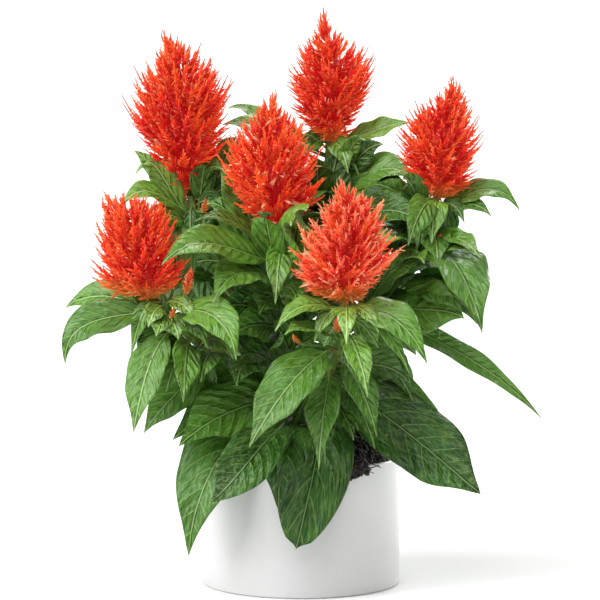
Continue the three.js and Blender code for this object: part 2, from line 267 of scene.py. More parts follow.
class QuiltTree(GrowthTree):
    """Raises a leaf's surface between its side veins and sinks it along them."""

    title = "leaf quilting"
    inputs = {"Puff": "Float", "Crease": "Float", "Ripple": "Float", "Material": "Material"}

    def shape(self) -> bpy.types.NodeSocket:
        """Moves each point along the blade's own up direction.

        Returns:
            The quilted blades.
        """
        tree = self.tree
        vein = self.put("InputNamedAttribute", "vein", data_type="FLOAT_VECTOR")
        vein = add(tree, "SeparateXYZ", {0: vein}).outputs
        off = self.put("Math.MULTIPLY", self.put("InputNamedAttribute", "off"), 0.2)
        run = self.put("CombineXYZ", vein[0], off, self.put("Math.SIGN", vein[1]))
        swell = add(tree, "TexNoise", {"Vector": run, "Scale": 1.0, "Detail": 1.0}).outputs[0]
        swell = self.put("Math.MULTIPLY_ADD", self.put("Math.PINGPONG", vein[0], 0.5), 0.7, swell)
        swell = self.put("Math.SUBTRACT", swell, 0.67)
        across = self.put("Math.ABSOLUTE", vein[1])
        # Nothing swells at the midrib, at the margin or on the stalk
        inner, outer, blade = (
            self.put("MapRange", value, low, high, interpolation_type="SMOOTHSTEP")
            for value, low, high in ((across, 0.02, 0.22), (across, 1.0, 0.72), (vein[2], 0.02, 0.12))
        )
        mask = self.put("Math.MULTIPLY", self.put("Math.MULTIPLY", inner, outer), blade)
        puff = self.put("Math.MULTIPLY", self.put("Math.MULTIPLY", swell, mask), self.given["Puff"])
        noise = add(tree, "TexNoise", {"Scale": 95.0, "Detail": 2.0}).outputs[0]
        ripple = self.put("Math.MULTIPLY", self.put("Math.SUBTRACT", noise, 0.5), self.given["Ripple"])
        ripple = self.put("Math.MULTIPLY", ripple, blade)
        # The upper side sinks along the midrib
        crease = self.put("MapRange", across, 0.09, 0.0, interpolation_type="SMOOTHSTEP")
        for share in (blade, self.given["Crease"], self.put("InputNamedAttribute", "upper")):
            crease = self.put("Math.MULTIPLY", crease, share)
        rise = self.put("Math.SUBTRACT", self.put("Math.ADD", puff, ripple), crease)
        lift = self.put("InputNamedAttribute", "lift", data_type="FLOAT_VECTOR")
        offset = add(tree, "VectorMath.SCALE", {0: lift, "Scale": rise}).outputs[0]
        return add(tree, "SetPosition", {"Geometry": self.given["Geometry"], "Offset": offset}).outputs[0]


class FeatherTree(GrowthTree):
    """Clothes flower branches in pointed bracts, turned by the golden angle, and sweeps their stalks."""

    title = "feathered branches"
    inputs = {
        "Spacing": "Float",
        "Bract length": "Float",
        "Bract width": "Float",
        "Lean": "Float",
        "Long share": "Float",
        "Pale share": "Float",
        "Seed": "Int",
        "Material": "Material",
    }

    def bract(self) -> bpy.types.NodeSocket:
        """Makes one bract: a keeled blade one unit long that curls a little.

        Returns:
            The bract, with its height kept as tip.
        """
        tree = self.tree
        ball = add(tree, "MeshUVSphere", {"Segments": 3, "Rings": 3, "Radius": 1.0}).outputs[0]
        place = add(tree, "SeparateXYZ", {0: self.put("InputPosition")}).outputs
        height = self.put("Math.MULTIPLY_ADD", place[2], 0.5, 0.5)
        taper = self.put("Math.MULTIPLY_ADD", height, -0.75, 1.3)
        curl = self.put("Math.MULTIPLY", self.put("Math.POWER", height, 2.0), 0.9)
        across = self.put("Math.MULTIPLY", place[1], taper)
        keel = self.put("Math.MULTIPLY_ADD", self.put("Math.MULTIPLY", place[0], taper), 0.45, curl)
        at = self.put("CombineXYZ", across, keel, height)
        stored = {"Geometry": ball, "Name": "tip", "Value": height}
        ball = add(tree, "StoreNamedAttribute", stored, domain="POINT").outputs[0]
        return add(tree, "SetPosition", {"Geometry": ball, "Position": at}).outputs[0]

    def shape(self) -> bpy.types.NodeSocket:
        """Places the bracts and sweeps the stalks.

        Returns:
            Both, joined.
        """
        tree = self.tree
        curve = self.put("MeshToCurve", self.given["Geometry"])
        spaced = {"Curve": curve, "Length": self.given["Spacing"]}
        spots = add(tree, "ResampleCurve", spaced, mode="LENGTH").outputs[0]
        way = self.put("InputNamedAttribute", "way", data_type="FLOAT_VECTOR")
        along = add(tree, "AlignRotationToVector", {"Vector": way}, axis="Z").outputs[0]
        turn = self.put("Math.MULTIPLY", self.put("InputIndex"), GOLDEN_ANGLE)
        turn = self.put("Math.ADD", turn, self.chance(-0.4, 0.4, 1))
        spin = self.put("AxisAngleToRotation", (0, 0, 1), turn)
        turned = self.put("RotateRotation", along, spin, rotation_space="LOCAL")
        fullness = self.put("InputNamedAttribute", "fullness")
        lean = self.put("Math.MULTIPLY_ADD", fullness, 0.8, 0.2)
        lean = self.put("Math.MULTIPLY", self.given["Lean"], lean)
        lean = self.put("Math.MULTIPLY", lean, self.chance(0.65, 1.35, 2))
        is_long = self.put("Math.LESS_THAN", self.chance(0, 1, 3), self.given["Long share"])
        is_pale = self.put("Math.LESS_THAN", self.chance(0, 1, 4), self.given["Pale share"])
        lean = self.put("Math.MULTIPLY_ADD", is_pale, 0.5, lean)
        tilt = self.put("AxisAngleToRotation", (-1, 0, 0), lean)
        turned = self.put("RotateRotation", turned, tilt, rotation_space="LOCAL")
        size = self.put("Math.MULTIPLY", self.chance(0.7, 1.25, 5), fullness)
        length = self.put("Math.MULTIPLY", size, self.given["Bract length"])
        length = self.put("Math.MULTIPLY", length, self.put("Math.MULTIPLY_ADD", is_long, 0.6, 1.0))
        length = self.put("Math.MULTIPLY", length, self.put("Math.MULTIPLY_ADD", is_pale, 0.35, 1.0))
        width = self.put("Math.MULTIPLY", size, self.given["Bract width"])
        width = self.put("Math.MULTIPLY", width, self.put("Math.MULTIPLY_ADD", is_long, -0.4, 1.0))
        width = self.put("Math.MULTIPLY", width, self.put("Math.MULTIPLY_ADD", is_pale, 0.8, 1.0))
        scale = self.put("CombineXYZ", width, width, length)
        placed = {"Points": spots, "Instance": self.bract(), "Rotation": turned, "Scale": scale}
        placed["Selection"] = self.put("Math.GREATER_THAN", fullness, 0.02)
        bracts = add(tree, "InstanceOnPoints", placed).outputs[0]
        for name, value in (("tint", self.chance(0, 1, 6)), ("pale", is_pale)):
            stored = {"Geometry": bracts, "Name": name, "Value": value}
            bracts = add(tree, "StoreNamedAttribute", stored, domain="INSTANCE").outputs[0]
        ring = add(tree, "CurvePrimitiveCircle", {"Resolution": 5, "Radius": 1.0}).outputs[0]
        stalks = add(tree, "CurveToMesh", {"Curve": curve, "Profile Curve": ring, "Fill Caps": True})
        tree.links.new(self.put("InputNamedAttribute", "stalk"), stalks.inputs["Scale"])
        joined = add(tree, "JoinGeometry")
        tree.links.new(bracts, joined.inputs[0])
        tree.links.new(stalks.outputs[0], joined.inputs[0])
        return joined.outputs[0]


class StemTree(GrowthTree):
    """Sweeps a ribbed section along a stem, swollen a little at each joint."""

    title = "ribbed stem"
    inputs = {"Ribs": "Int", "Rib depth": "Float", "Material": "Material"}

    def shape(self) -> bpy.types.NodeSocket:
        """Sweeps the section and closes the ends.

        Returns:
            The stem.
        """
        tree = self.tree
        curve = self.put("MeshToCurve", self.given["Geometry"])
        ring = add(tree, "CurvePrimitiveCircle", {"Resolution": 30, "Radius": 1.0}).outputs[0]
        place = self.put("InputPosition")
        spot = add(tree, "SeparateXYZ", {0: place}).outputs
        turn = self.put("Math.MULTIPLY", self.put("Math.ARCTAN2", spot[1], spot[0]), self.given["Ribs"])
        wave = self.put("Math.MULTIPLY_ADD", self.put("Math.COSINE", turn), self.given["Rib depth"], 1.0)
        ribbed = add(tree, "VectorMath.SCALE", {0: place, "Scale": wave}).outputs[0]
        ring = add(tree, "SetPosition", {"Geometry": ring, "Position": ribbed}).outputs[0]
        swept = add(tree, "CurveToMesh", {"Curve": curve, "Profile Curve": ring, "Fill Caps": True})
        tree.links.new(self.put("InputNamedAttribute", "girth"), swept.inputs["Scale"])
        return swept.outputs[0]


class CrumbTree(GrowthTree):
    """Strews compost crumbs and bark fibres over a surface."""

    title = "compost crumbs"
    inputs = {"Density": "Float", "Crumb": "Float", "Fibres": "Float", "Seed": "Int", "Material": "Material"}

    def strewn(
        self,
        density: bpy.types.NodeSocket,
        shape: bpy.types.NodeSocket,
        scale: bpy.types.NodeSocket,
        shift: int,
    ) -> bpy.types.NodeSocket:
        """Scatters one shape over the upper side, turned at random.

        Args:
            density: how many there are to a square metre.
            shape: the mesh to scatter.
            scale: each one's size.
            shift: what is added to the seed.

        Returns:
            The instances.
        """
        tree = self.tree
        seed = self.put("Math.ADD", self.given["Seed"], shift)
        density = self.put("Math.MULTIPLY", density, self.put("InputNamedAttribute", "open"))
        bed = {"Mesh": self.given["Geometry"], "Density": density, "Seed": seed}
        spots = add(tree, "DistributePointsOnFaces", bed).outputs[0]
        draw = add(tree, "RandomValue", {"Seed": seed}, data_type="FLOAT_VECTOR")
        draw.inputs[1].default_value = (math.tau, math.tau, math.tau)
        placed = {"Points": spots, "Instance": shape, "Scale": scale}
        placed["Rotation"] = self.put("EulerToRotation", draw.outputs[0])
        made = add(tree, "InstanceOnPoints", placed).outputs[0]
        stored = {"Geometry": made, "Name": "tint", "Value": self.chance(0, 1, shift + 5)}
        return add(tree, "StoreNamedAttribute", stored, domain="INSTANCE").outputs[0]

    def shape(self) -> bpy.types.NodeSocket:
        """Joins the bed, the crumbs and the fibres.

        Returns:
            The three of them.
        """
        tree = self.tree
        ball = add(tree, "MeshIcoSphere", {"Radius": 1.0, "Subdivisions": 1}).outputs[0]
        noise = add(tree, "TexNoise", {"Scale": 1.3, "Detail": 1.0})
        shove = self.put("VectorMath.ADD", noise.outputs[1], (-0.5, -0.5, -0.5))
        ball = add(tree, "SetPosition", {"Geometry": ball, "Offset": shove}).outputs[0]
        size = self.put("Math.MULTIPLY", self.given["Crumb"], self.chance(0.35, 1.2, 20))
        long = self.put("Math.MULTIPLY", size, self.chance(0.8, 1.7, 21))
        scale = self.put("CombineXYZ", size, size, long)
        crumbs = self.strewn(self.given["Density"], ball, scale, 0)
        line = add(tree, "MeshLine", {"Count": 7, "Offset": (0, 0, 1 / 6)}, mode="OFFSET").outputs[0]
        height = add(tree, "SeparateXYZ", {0: self.put("InputPosition")}).outputs[2]
        bend = self.put("Math.MULTIPLY", self.put("Math.SINE", self.put("Math.MULTIPLY", height, 4.2)), 0.16)
        bent = {"Geometry": line, "Offset": self.put("CombineXYZ", bend)}
        line = self.put("MeshToCurve", add(tree, "SetPosition", bent).outputs[0])
        ring = add(tree, "CurvePrimitiveCircle", {"Resolution": 4, "Radius": 0.035}).outputs[0]
        fibre = add(tree, "CurveToMesh", {"Curve": line, "Profile Curve": ring, "Fill Caps": True})
        stretch = self.chance(0.004, 0.011, 22)
        scale = self.put("CombineXYZ", stretch, stretch, stretch)
        fibres = self.strewn(self.given["Fibres"], fibre.outputs[0], scale, 40)
        stored = {"Geometry": fibres, "Name": "fibre", "Value": 1.0}
        fibres = add(tree, "StoreNamedAttribute", stored, domain="INSTANCE").outputs[0]
        joined = add(tree, "JoinGeometry")
        for part in (fibres, crumbs, self.given["Geometry"]):
            tree.links.new(part, joined.inputs[0])
        return joined.outputs[0]


# ---- Finishes ----
class Finish(Wiring):
    """One real material, made as a node tree on one Principled shader."""

    def make(self) -> bpy.types.Material:
        """Builds the material.

        Returns:
            The finished material.
        """
        material = bpy.data.materials.new(self.title)
        material.use_nodes = True
        self.tree = material.node_tree
        self.shader = self.tree.nodes["Principled BSDF"]
        self.dress()
        return material

    @abstractmethod
    def dress(self) -> None:
        """Sets the shader's sockets and links the patterns."""

    def read(self, *names: str) -> list[bpy.types.NodeSocket]:
        """Reads the mesh's named attributes, each as a number."""
        return [add(self.tree, "Attribute", attribute_name=name).outputs["Fac"] for name in names]

    def eased(
        self, value: bpy.types.NodeSocket, low: float, high: float, top: float = 1.0
    ) -> bpy.types.NodeSocket:
        """Eases a value from 0 at low to top at high."""
        return self.put("MapRange", value, low, high, 0.0, top, interpolation_type="SMOOTHSTEP")

    def blend(self, share: object, first: object, second: object) -> bpy.types.NodeSocket:
        """Mixes two colours.

        Args:
            share: how much of the second there is, from 0 to 1.
            first: a hex code or a socket.
            second: the same.

        Returns:
            The mixed colour.
        """
        ends = {6: first, 7: second}
        sockets = {0: share} | {k: linear(v) if isinstance(v, str) else v for k, v in ends.items()}
        return add(self.tree, "Mix", sockets, data_type="RGBA").outputs[2]

    def noise(
        self, size: float, detail: float = 3.0, stretch: tuple[float, float, float] = (1, 1, 1)
    ) -> bpy.types.NodeSocket:
        """Draws noise in the object's own coordinates.

        Args:
            size: how wide its blotches are, in millimetres.
            detail: how many finer layers it has.
            stretch: its scale along each axis.

        Returns:
            The noise, from 0 to 1.
        """
        place = add(self.tree, "TexCoord").outputs["Object"]
        place = add(self.tree, "Mapping", {"Vector": place, "Scale": stretch}).outputs[0]
        sockets = {"Vector": place, "Scale": 1 / (size * MM), "Detail": detail}
        return add(self.tree, "TexNoise", sockets).outputs[0]

    def bump(
        self,
        height: bpy.types.NodeSocket,
        depth: float,
        strength: float,
        under: bpy.types.NodeSocket | None = None,
    ) -> bpy.types.NodeSocket:
        """Turns a pattern into relief.

        Args:
            height: the pattern, from 0 to 1.
            depth: how deep it goes, in millimetres.
            strength: how much of it shows.
            under: a relief that this one lies over.

        Returns:
            The normal.
        """
        sockets = {"Height": height, "Distance": depth * MM, "Strength": strength}
        if under:
            sockets["Normal"] = under
        return add(self.tree, "Bump", sockets).outputs[0]

    def link(self, value: bpy.types.NodeSocket, socket: str) -> None:
        """Links a pattern to one of the shader's sockets."""
        self.tree.links.new(value, self.shader.inputs[socket])

    def fix(self, **values: object) -> None:
        """Sets the shader's constant sockets, with _ for a space."""
        for name, value in values.items():
            self.shader.inputs[name.replace("_", " ")].default_value = value


@dataclass
class LeafTissue(Finish):
    """Living leaf: a waxy, satin upper side with fine pale veins, and a paler, duller underside."""

    title: str = "celosia leaf, waxy upper side"
    deep: str = "#153B07"
    mid: str = "#3D7B1C"
    # Yellow-green of young leaves, also used as painted light on the higher ones
    fresh_and_lit: str = "#84B538"
    vein: str = "#A3C968"
    rib: str = "#A8CB74"
    underside: str = "#5E8746"
    lower_vein: str = "#8FAE6C"
    blush: str = "#7A3F28"
    net: float = 2.6  # size of the meshes of the finest veins, in millimetres

    def dress(self) -> None:
        """Colours by vein, side and youth, which also carries painted light and shade, with painted
        highlights on the puckers between the veins and painted shade in their hollows.
        """
        vein = add(self.tree, "Attribute", attribute_name="vein").outputs["Vector"]
        vein = add(self.tree, "SeparateXYZ", {0: vein}).outputs
        off, fresh_and_lit, upper = self.read("off", "fresh_and_lit", "upper")
        lower = self.put("Math.SUBTRACT", 1.0, upper)
        across = self.put("Math.ABSOLUTE", vein[1])
        blade = self.eased(vein[2], 0.0, 0.06)
        # Distance to the nearest side vein, as a share of the space between two of them
        away = self.put("Math.PINGPONG", vein[0], 0.5)
        beside = self.put("Math.MULTIPLY", blade, self.eased(off, 0.4, 1.4))
        side_vein = self.put("Math.SUBTRACT", 1.0, self.eased(away, 0.01, 0.065))
        side_vein = self.put("Math.MULTIPLY", side_vein, self.eased(across, 1.0, 0.6))
        side_vein = self.put("Math.MULTIPLY", side_vein, beside)
        midrib = self.eased(off, 0.62, 0.15)
        # The finest veins: a net between the side veins
        beat, wide = self.put("Math.MULTIPLY", vein[0], 5.5), self.put("Math.MULTIPLY", vein[1], 4.0)
        run = self.put("CombineXYZ", beat, off, wide)
        cells = {"Vector": run, "Scale": 1 / self.net}
        cells = add(self.tree, "TexVoronoi", cells, feature="DISTANCE_TO_EDGE").outputs["Distance"]
        mesh = self.put("Math.MULTIPLY", self.eased(cells, 0.12, 0.0), beside)
        pucker = add(self.tree, "TexNoise", {"Vector": run, "Scale": 0.3, "Detail": 1.0}).outputs[0]
        swell = self.put("Math.POWER", self.put("Math.MULTIPLY", away, 2.0), 0.85)
        swell = self.put("Math.MULTIPLY", swell, self.eased(across, 1.0, 0.75))
        swell = self.put("Math.MULTIPLY", swell, beside)
        # Young leaves are yellow-greener; the same value also paints light and shade, so the leaves given
        # less of it, low in the plant, come out darker
        share = self.put("Math.MULTIPLY_ADD", fresh_and_lit, 1.8, self.eased(self.noise(24.0, 1.0), 0.3, 0.7, 0.35))
        colour = self.blend(share, self.deep, self.mid)
        colour = self.blend(self.put("Math.MULTIPLY_ADD", fresh_and_lit, 1.2, -0.1), colour, self.fresh_and_lit)
        # Painted highlight, in the vein colour, where the blade swells between the veins, and painted shade,
        # in the deep colour, in the hollows beside them
        colour = self.blend(self.put("Math.MULTIPLY", self.eased(pucker, 0.45, 0.7), 0.12), colour, self.vein)
        colour = self.blend(self.put("Math.MULTIPLY", self.eased(swell, 0.8, 0.2), 0.08), colour, self.deep)
        colour = self.blend(self.put("Math.MULTIPLY", mesh, 0.12), colour, self.vein)
        # Veins stand out most on young leaves and on the ones painted lighter
        clear = self.put("Math.MULTIPLY_ADD", fresh_and_lit, 0.75, 0.26)
        colour = self.blend(self.put("Math.MULTIPLY", side_vein, clear), colour, self.vein)
        clear = self.put("Math.ADD", clear, 0.08)
        colour = self.blend(self.put("Math.MULTIPLY", midrib, clear), colour, self.rib)
        blotch = self.eased(self.noise(30.0), 0.45, 0.6, 0.3)
        margin = self.put("Math.MULTIPLY", self.eased(across, 0.95, 1.0), blotch)
        stalk = self.put("Math.MULTIPLY", self.eased(vein[2], 0.03, -0.12), self.noise(9.0))
        colour = self.blend(self.put("Math.MAXIMUM", margin, stalk), colour, self.blush)
        dull = self.blend(self.put("Math.MULTIPLY", side_vein, 0.5), self.underside, self.lower_vein)
        colour = self.blend(self.put("Math.MULTIPLY", lower, 0.85), colour, dull)
        self.link(colour, "Base Color")
        shine = self.put("Math.MULTIPLY_ADD", pucker, 0.2, 0.3)
        shine = self.put("Math.MULTIPLY_ADD", lower, 0.22, shine)
        self.link(shine, "Roughness")
        # Relief: swollen between side veins, puckered between the finest ones, the midrib sunk
        relief = self.bump(swell, 1.5, 0.75)
        relief = self.bump(self.put("Math.MULTIPLY", self.eased(pucker, 0.2, 0.8), beside), 1.3, 0.7, relief)
        relief = self.bump(self.put("Math.MULTIPLY", self.eased(cells, 0.0, 0.42), beside), 0.25, 0.7, relief)
        relief = self.bump(self.put("Math.SUBTRACT", 1.0, midrib), 0.35, 0.6, relief)
        self.link(relief, "Normal")
        self.fix(IOR=1.42, Subsurface_Weight=0.1, Subsurface_Radius=(0.5, 1.0, 0.25), Subsurface_Scale=0.001)
        self.link(self.put("Math.MULTIPLY_ADD", fresh_and_lit, 1.1, 0.02), "Coat Weight")
        self.fix(Coat_Roughness=0.32)


@dataclass
class PlumeBracts(Finish):
    """Papery flower bracts: matt and a little see-through, with a painted glow; crimson inside, partly as
    painted shade, and orange towards the tips, partly as painted highlight.
    """

    title: str = "celosia bracts, papery red"
    # The dark crimson of the plume's inside, partly painted shade
    heart: str = "#BC1018"
    crimson: str = "#CC161A"
    body: str = "#FA2E16"
    # Orange of the outer bracts, partly painted highlight
    glow: str = "#FF682E"
    # Lighter orange of the bract tips, partly painted highlight
    ember: str = "#FF8C58"
    peach: str = "#FFB48C"
    cream: str = "#F6D0A8"
    spent: str = "#6E4436"
    tan: str = "#B08A34"
    green: str = "#5C7F34"

    def dress(self) -> None:
        """Colours by how far out a bract sits, how high on itself, and its own draw."""
        along, tip, tint, tone, is_pale = self.read("along", "tip", "tint", "tone", "pale")
        faded, foot, bristle = self.read("faded", "foot", "bristle")
        # Darker crimson towards the plume's inside and each feather's foot: partly the bracts' own colour,
        # partly painted shade of the crowded inside
        colour = self.blend(self.eased(along, 0.3, 0.8), self.heart, self.body)
        own = self.put("Math.MULTIPLY_ADD", self.eased(tint, 0.0, 0.4), 0.45, 0.55)
        colour = self.blend(own, self.crimson, colour)
        # Orange towards each feather's outer end, partly the bracts' own colour and partly painted highlight;
        # some whole feathers and the top of the plume are orange in their own colour
        out = self.put("Math.MULTIPLY_ADD", tint, 0.6, 0.2)
        out = self.put("Math.MULTIPLY", self.eased(along, 0.55, 1.0), out)
        colour = self.blend(self.put("Math.MAXIMUM", out, tone), colour, self.glow)
        # Lighter towards each bract's tip: partly the bracts' own colour, partly painted highlight
        light = self.put("Math.MULTIPLY", self.eased(tip, 0.4, 1.0), self.eased(tint, 0.4, 1.0, 0.5))
        colour = self.blend(light, colour, self.ember)
        pale = self.put("Math.MULTIPLY", is_pale, self.eased(tip, 0.1, 0.6, 0.7))
        colour = self.blend(pale, colour, self.peach)
        colour = self.blend(faded, colour, self.cream)
        colour = self.blend(foot, colour, self.tan)
        colour = self.blend(self.eased(foot, 0.7, 0.9), colour, self.green)
        brown = self.put("Math.MULTIPLY", bristle, self.eased(along, 0.66, 0.86, 0.85))
        colour = self.blend(brown, colour, self.spent)
        self.link(colour, "Base Color")
        # Painted glow: the bracts give off light in their own colour, standing in for light that comes
        # through the thin bracts from behind; the green stalks do not glow
        self.link(self.blend(self.eased(foot, 0.3, 0.9), colour, "#000000"), "Emission Color")
        self.link(self.put("Math.MULTIPLY_ADD", tint, 0.2, 0.5), "Roughness")
        # How bright the painted glow is
        self.fix(Emission_Strength=0.22)
        self.fix(IOR=1.33, Subsurface_Weight=0.5, Subsurface_Radius=(1.0, 0.3, 0.1), Subsurface_Scale=0.0025)


@dataclass
class GreenStalk(Finish):
    """Fleshy ribbed stalk: yellow-green with a red flush along its ribs."""

    title: str = "celosia stalk, fleshy"
    flesh: str = "#769A3C"
    shade: str = "#3F6626"
    flush: str = "#8C3A2E"

    def dress(self) -> None:
        """Streaks the flush along the stalk."""
        streak = self.noise(6.0, 3.0, (1, 1, 0.15))
        colour = self.blend(self.eased(self.noise(11.0), 0.35, 0.7), self.shade, self.flesh)
        colour = self.blend(self.eased(streak, 0.5, 0.72, 0.55), colour, self.flush)
        self.link(colour, "Base Color")
        self.link(self.put("Math.MULTIPLY_ADD", streak, 0.25, 0.35), "Roughness")
        self.link(self.bump(self.noise(0.8, 2.0, (1, 1, 0.2)), 0.15, 0.4), "Normal")
        self.fix(IOR=1.42, Subsurface_Weight=0.15, Subsurface_Radius=(0.8, 1.0, 0.3), Subsurface_Scale=0.002)


@dataclass
class WhiteGlaze(Finish):
    """White-glazed earthenware: smooth and satin, with the faint unevenness of a poured glaze."""

    title: str = "glazed earthenware, white"
    white: str = "#D2D2D2"
    dull: str = "#CDCDCC"

    def dress(self) -> None:
        """Varies the glaze a little in colour, gloss and height."""
        cloud = self.eased(self.noise(45.0, 2.0), 0.35, 0.7)
        self.link(self.blend(cloud, self.white, self.dull), "Base Color")
        self.link(self.put("Math.MULTIPLY_ADD", self.noise(25.0, 2.0), 0.12, 0.24), "Roughness")
        self.link(self.bump(self.noise(18.0, 1.0), 0.12, 0.15), "Normal")
        self.fix(IOR=1.5, Coat_Weight=0.25, Coat_Roughness=0.12)


@dataclass
class Compost(Finish):
    """Moist potting compost: near-black peat crumbs with browner bark fibres."""

    title: str = "potting compost, moist"
    peat: str = "#0E0907"
    crumb: str = "#231812"
    bark: str = "#453125"

    def dress(self) -> None:
        """Gives each crumb its own brown."""
        tint, fibre = self.read("tint", "fibre")
        colour = self.blend(self.put("Math.MULTIPLY", tint, self.noise(2.0)), self.peat, self.crumb)
        colour = self.blend(self.put("Math.MULTIPLY", fibre, tint), colour, self.bark)
        self.link(colour, "Base Color")
        self.link(self.put("Math.MULTIPLY_ADD", self.noise(3.0), 0.3, 0.62), "Roughness")
        self.link(self.bump(self.noise(0.6), 0.3, 0.6), "Normal")


@dataclass
class StudioPaper(Finish):
    """Seamless studio paper: plain, matt and almost white."""

    title: str = "studio paper, white"
    white: str = "#F2F2F2"
    dull: str = "#EFEFEF"

    def dress(self) -> None:
        """Gives the paper its faint clouds."""
        cloud = self.eased(self.noise(300.0, 1.0), 0.3, 0.7)
        self.link(self.blend(cloud, self.white, self.dull), "Base Color")
        self.fix(Roughness=0.9)


# ---- The plant's skeleton ----
@dataclass(frozen=True)
class Bezier:
    """A cubic curve through four control points, in millimetres."""

    controls: np.ndarray

    def at(self, share: np.ndarray | float) -> np.ndarray:
        """Finds points on the curve.

        Args:
            share: how far along the curve each is, from 0 to 1.

        Returns:
            One row a point.
        """
        t = np.atleast_1d(np.asarray(share, float))[:, None]
        a, b, c, d = self.controls
        return (1 - t) ** 3 * a + 3 * (1 - t) ** 2 * t * b + 3 * (1 - t) * t**2 * c + t**3 * d

    def way(self, share: np.ndarray | float) -> np.ndarray:
        """Finds the curve's directions.

        Args:
            share: how far along the curve each is, from 0 to 1.

        Returns:
            One row a direction, each one long.
        """
        t = np.atleast_1d(np.asarray(share, float))[:, None]
        a, b, c, d = self.controls
        return unit((1 - t) ** 2 * (b - a) + 2 * (1 - t) * t * (c - b) + t**2 * (d - c))


@dataclass(frozen=True)
class Stem:
    """One stem: its curve and its radius at either end."""

    curve: Bezier
    radii: tuple[float, float]

    def radius(self, share: np.ndarray | float) -> np.ndarray | float:
        """Finds the radius at a share of the stem."""
        return self.radii[0] + (self.radii[1] - self.radii[0]) * share

    def seat(self, share: float, target: np.ndarray) -> tuple[np.ndarray, np.ndarray]:
        """Finds where a leaf or side stem that grows towards a target leaves the stem.

        Args:
            share: how far along the stem.
            target: the point that it grows towards.

        Returns:
            The point just off the stem's surface, and the way out of the stem.
        """
        point, tangent = self.curve.at(share)[0], self.curve.way(share)[0]
        away = target - point
        away = unit(away - away.dot(tangent) * tangent)
        return point + away * (self.radius(share) + GAP), away


@dataclass(frozen=True)
class Branching:
    """How a side stem leaves the centre one: share of it, slope in degrees, straight run, and its far end."""

    leaves: float
    slope: float
    out: float
    below: tuple[float, float, float]
    end: tuple[float, float, float]


CENTRE_STEM = ((3, 2, 125), (-13, -8, 170), (-11, -12, 219))  # the controls above its foot
CENTRE_RADII = (5.0, 2.8)
SIDE_RADII = (3.0, 2.4)
SIDE_STEMS = {
    "upper_left": Branching(0.5, 42, 34, (-62, 19, 192), (-69, 20, 242)),
    "back": Branching(0.58, 45, 26, (17, 50, 225), (18, 50, 276)),
    "right": Branching(0.44, 35, 38, (80, 14, 185), (86, 15, 243)),
    "left": Branching(0.41, 28, 34, (-76, -41, 152), (-86, -45, 188)),
    "front": Branching(0.3, 30, 24, (25, -65, 145), (28, -68, 190)),
}


def grow_skeleton() -> dict[str, Stem]:
    """Works out the six stems.

    Returns:
        Each stem by name, the centre one first.
    """
    foot = SOIL_TOP - PLANTED + GAP
    stems = {"centre": Stem(Bezier(np.array([[0, 0, foot], *CENTRE_STEM], float)), CENTRE_RADII)}
    for name, plan in SIDE_STEMS.items():
        end = np.array(plan.end, float)
        point, away = stems["centre"].seat(plan.leaves, end)
        tilt = math.radians(plan.slope)
        point = point + away * SIDE_RADII[0] * math.sin(tilt)
        knee = point + away * plan.out * math.cos(tilt) + UP * plan.out * math.sin(tilt)
        stems[name] = Stem(Bezier(np.array([point, knee, plan.below, end])), SIDE_RADII)
    return stems


# ---- Pot and soil ----
def spun(profile: list[tuple[float, float]], sides: int) -> tuple[np.ndarray, list[list[int]]]:
    """Spins a profile that starts and ends on the upright axis.

    Args:
        profile: radius and height of each point, from the axis round to the axis.
        sides: how many faces go round.

    Returns:
        The points and faces of a closed body.
    """
    angles = np.arange(sides) * math.tau / sides
    inner = profile[1:-1]
    rings = [np.stack([r * np.cos(angles), r * np.sin(angles), np.full(sides, z)], 1) for r, z in inner]
    ends = np.array([[0, 0, profile[0][1]], [0, 0, profile[-1][1]]])
    points = np.concatenate([*rings, ends])
    first, last = len(points) - 2, len(points) - 1
    faces = []
    for i in range(sides):
        j = (i + 1) % sides
        faces.append([first, j, i])
        faces.append([last, (len(inner) - 1) * sides + i, (len(inner) - 1) * sides + j])
        for k in range(len(inner) - 1):
            faces.append([k * sides + i, k * sides + j, (k + 1) * sides + j, (k + 1) * sides + i])
    return points, faces


@dataclass
class Pot:
    """The straight round pot, with a softly rounded lip and foot."""

    radius: float = POT_DIAMETER / 2
    height: float = POT_HEIGHT
    lip: float = 1.4  # radius of its roundings
    foot: float = 1.2
    cove: float = 3.0  # inside, where the wall meets the floor
    sides: int = 192

    def rounded(self, x: float, z: float, size: float, start: float) -> list[tuple[float, float]]:
        """Draws a quarter round about a centre, anticlockwise from a start angle in degrees."""
        turns = [math.radians(start + 90 * i / 6) for i in range(7)]
        return [(x + size * math.cos(a), z + size * math.sin(a)) for a in turns]

    def build(self) -> None:
        """Spins, dresses and seats the pot."""
        inner = self.radius - POT_WALL
        profile = [(0.0, 0.0), (self.radius * 0.5, 0.0)]
        profile += self.rounded(self.radius - self.foot, self.foot, self.foot, -90)
        profile += [(self.radius, self.height * share) for share in (0.2, 0.4, 0.6, 0.8)]
        profile += self.rounded(self.radius - self.lip, self.height - self.lip, self.lip, 0)
        profile += self.rounded(inner + self.lip, self.height - self.lip, self.lip, 90)
        profile += [(inner, self.height * 0.5), (inner, POT_FLOOR + self.cove)]
        profile += [(inner - self.cove, POT_FLOOR), (0.0, POT_FLOOR)]
        pot = mesh_object("white_pot", *spun(profile, self.sides))
        pot.data.materials.append(WhiteGlaze().make())
        seat(pot, ["pot"])


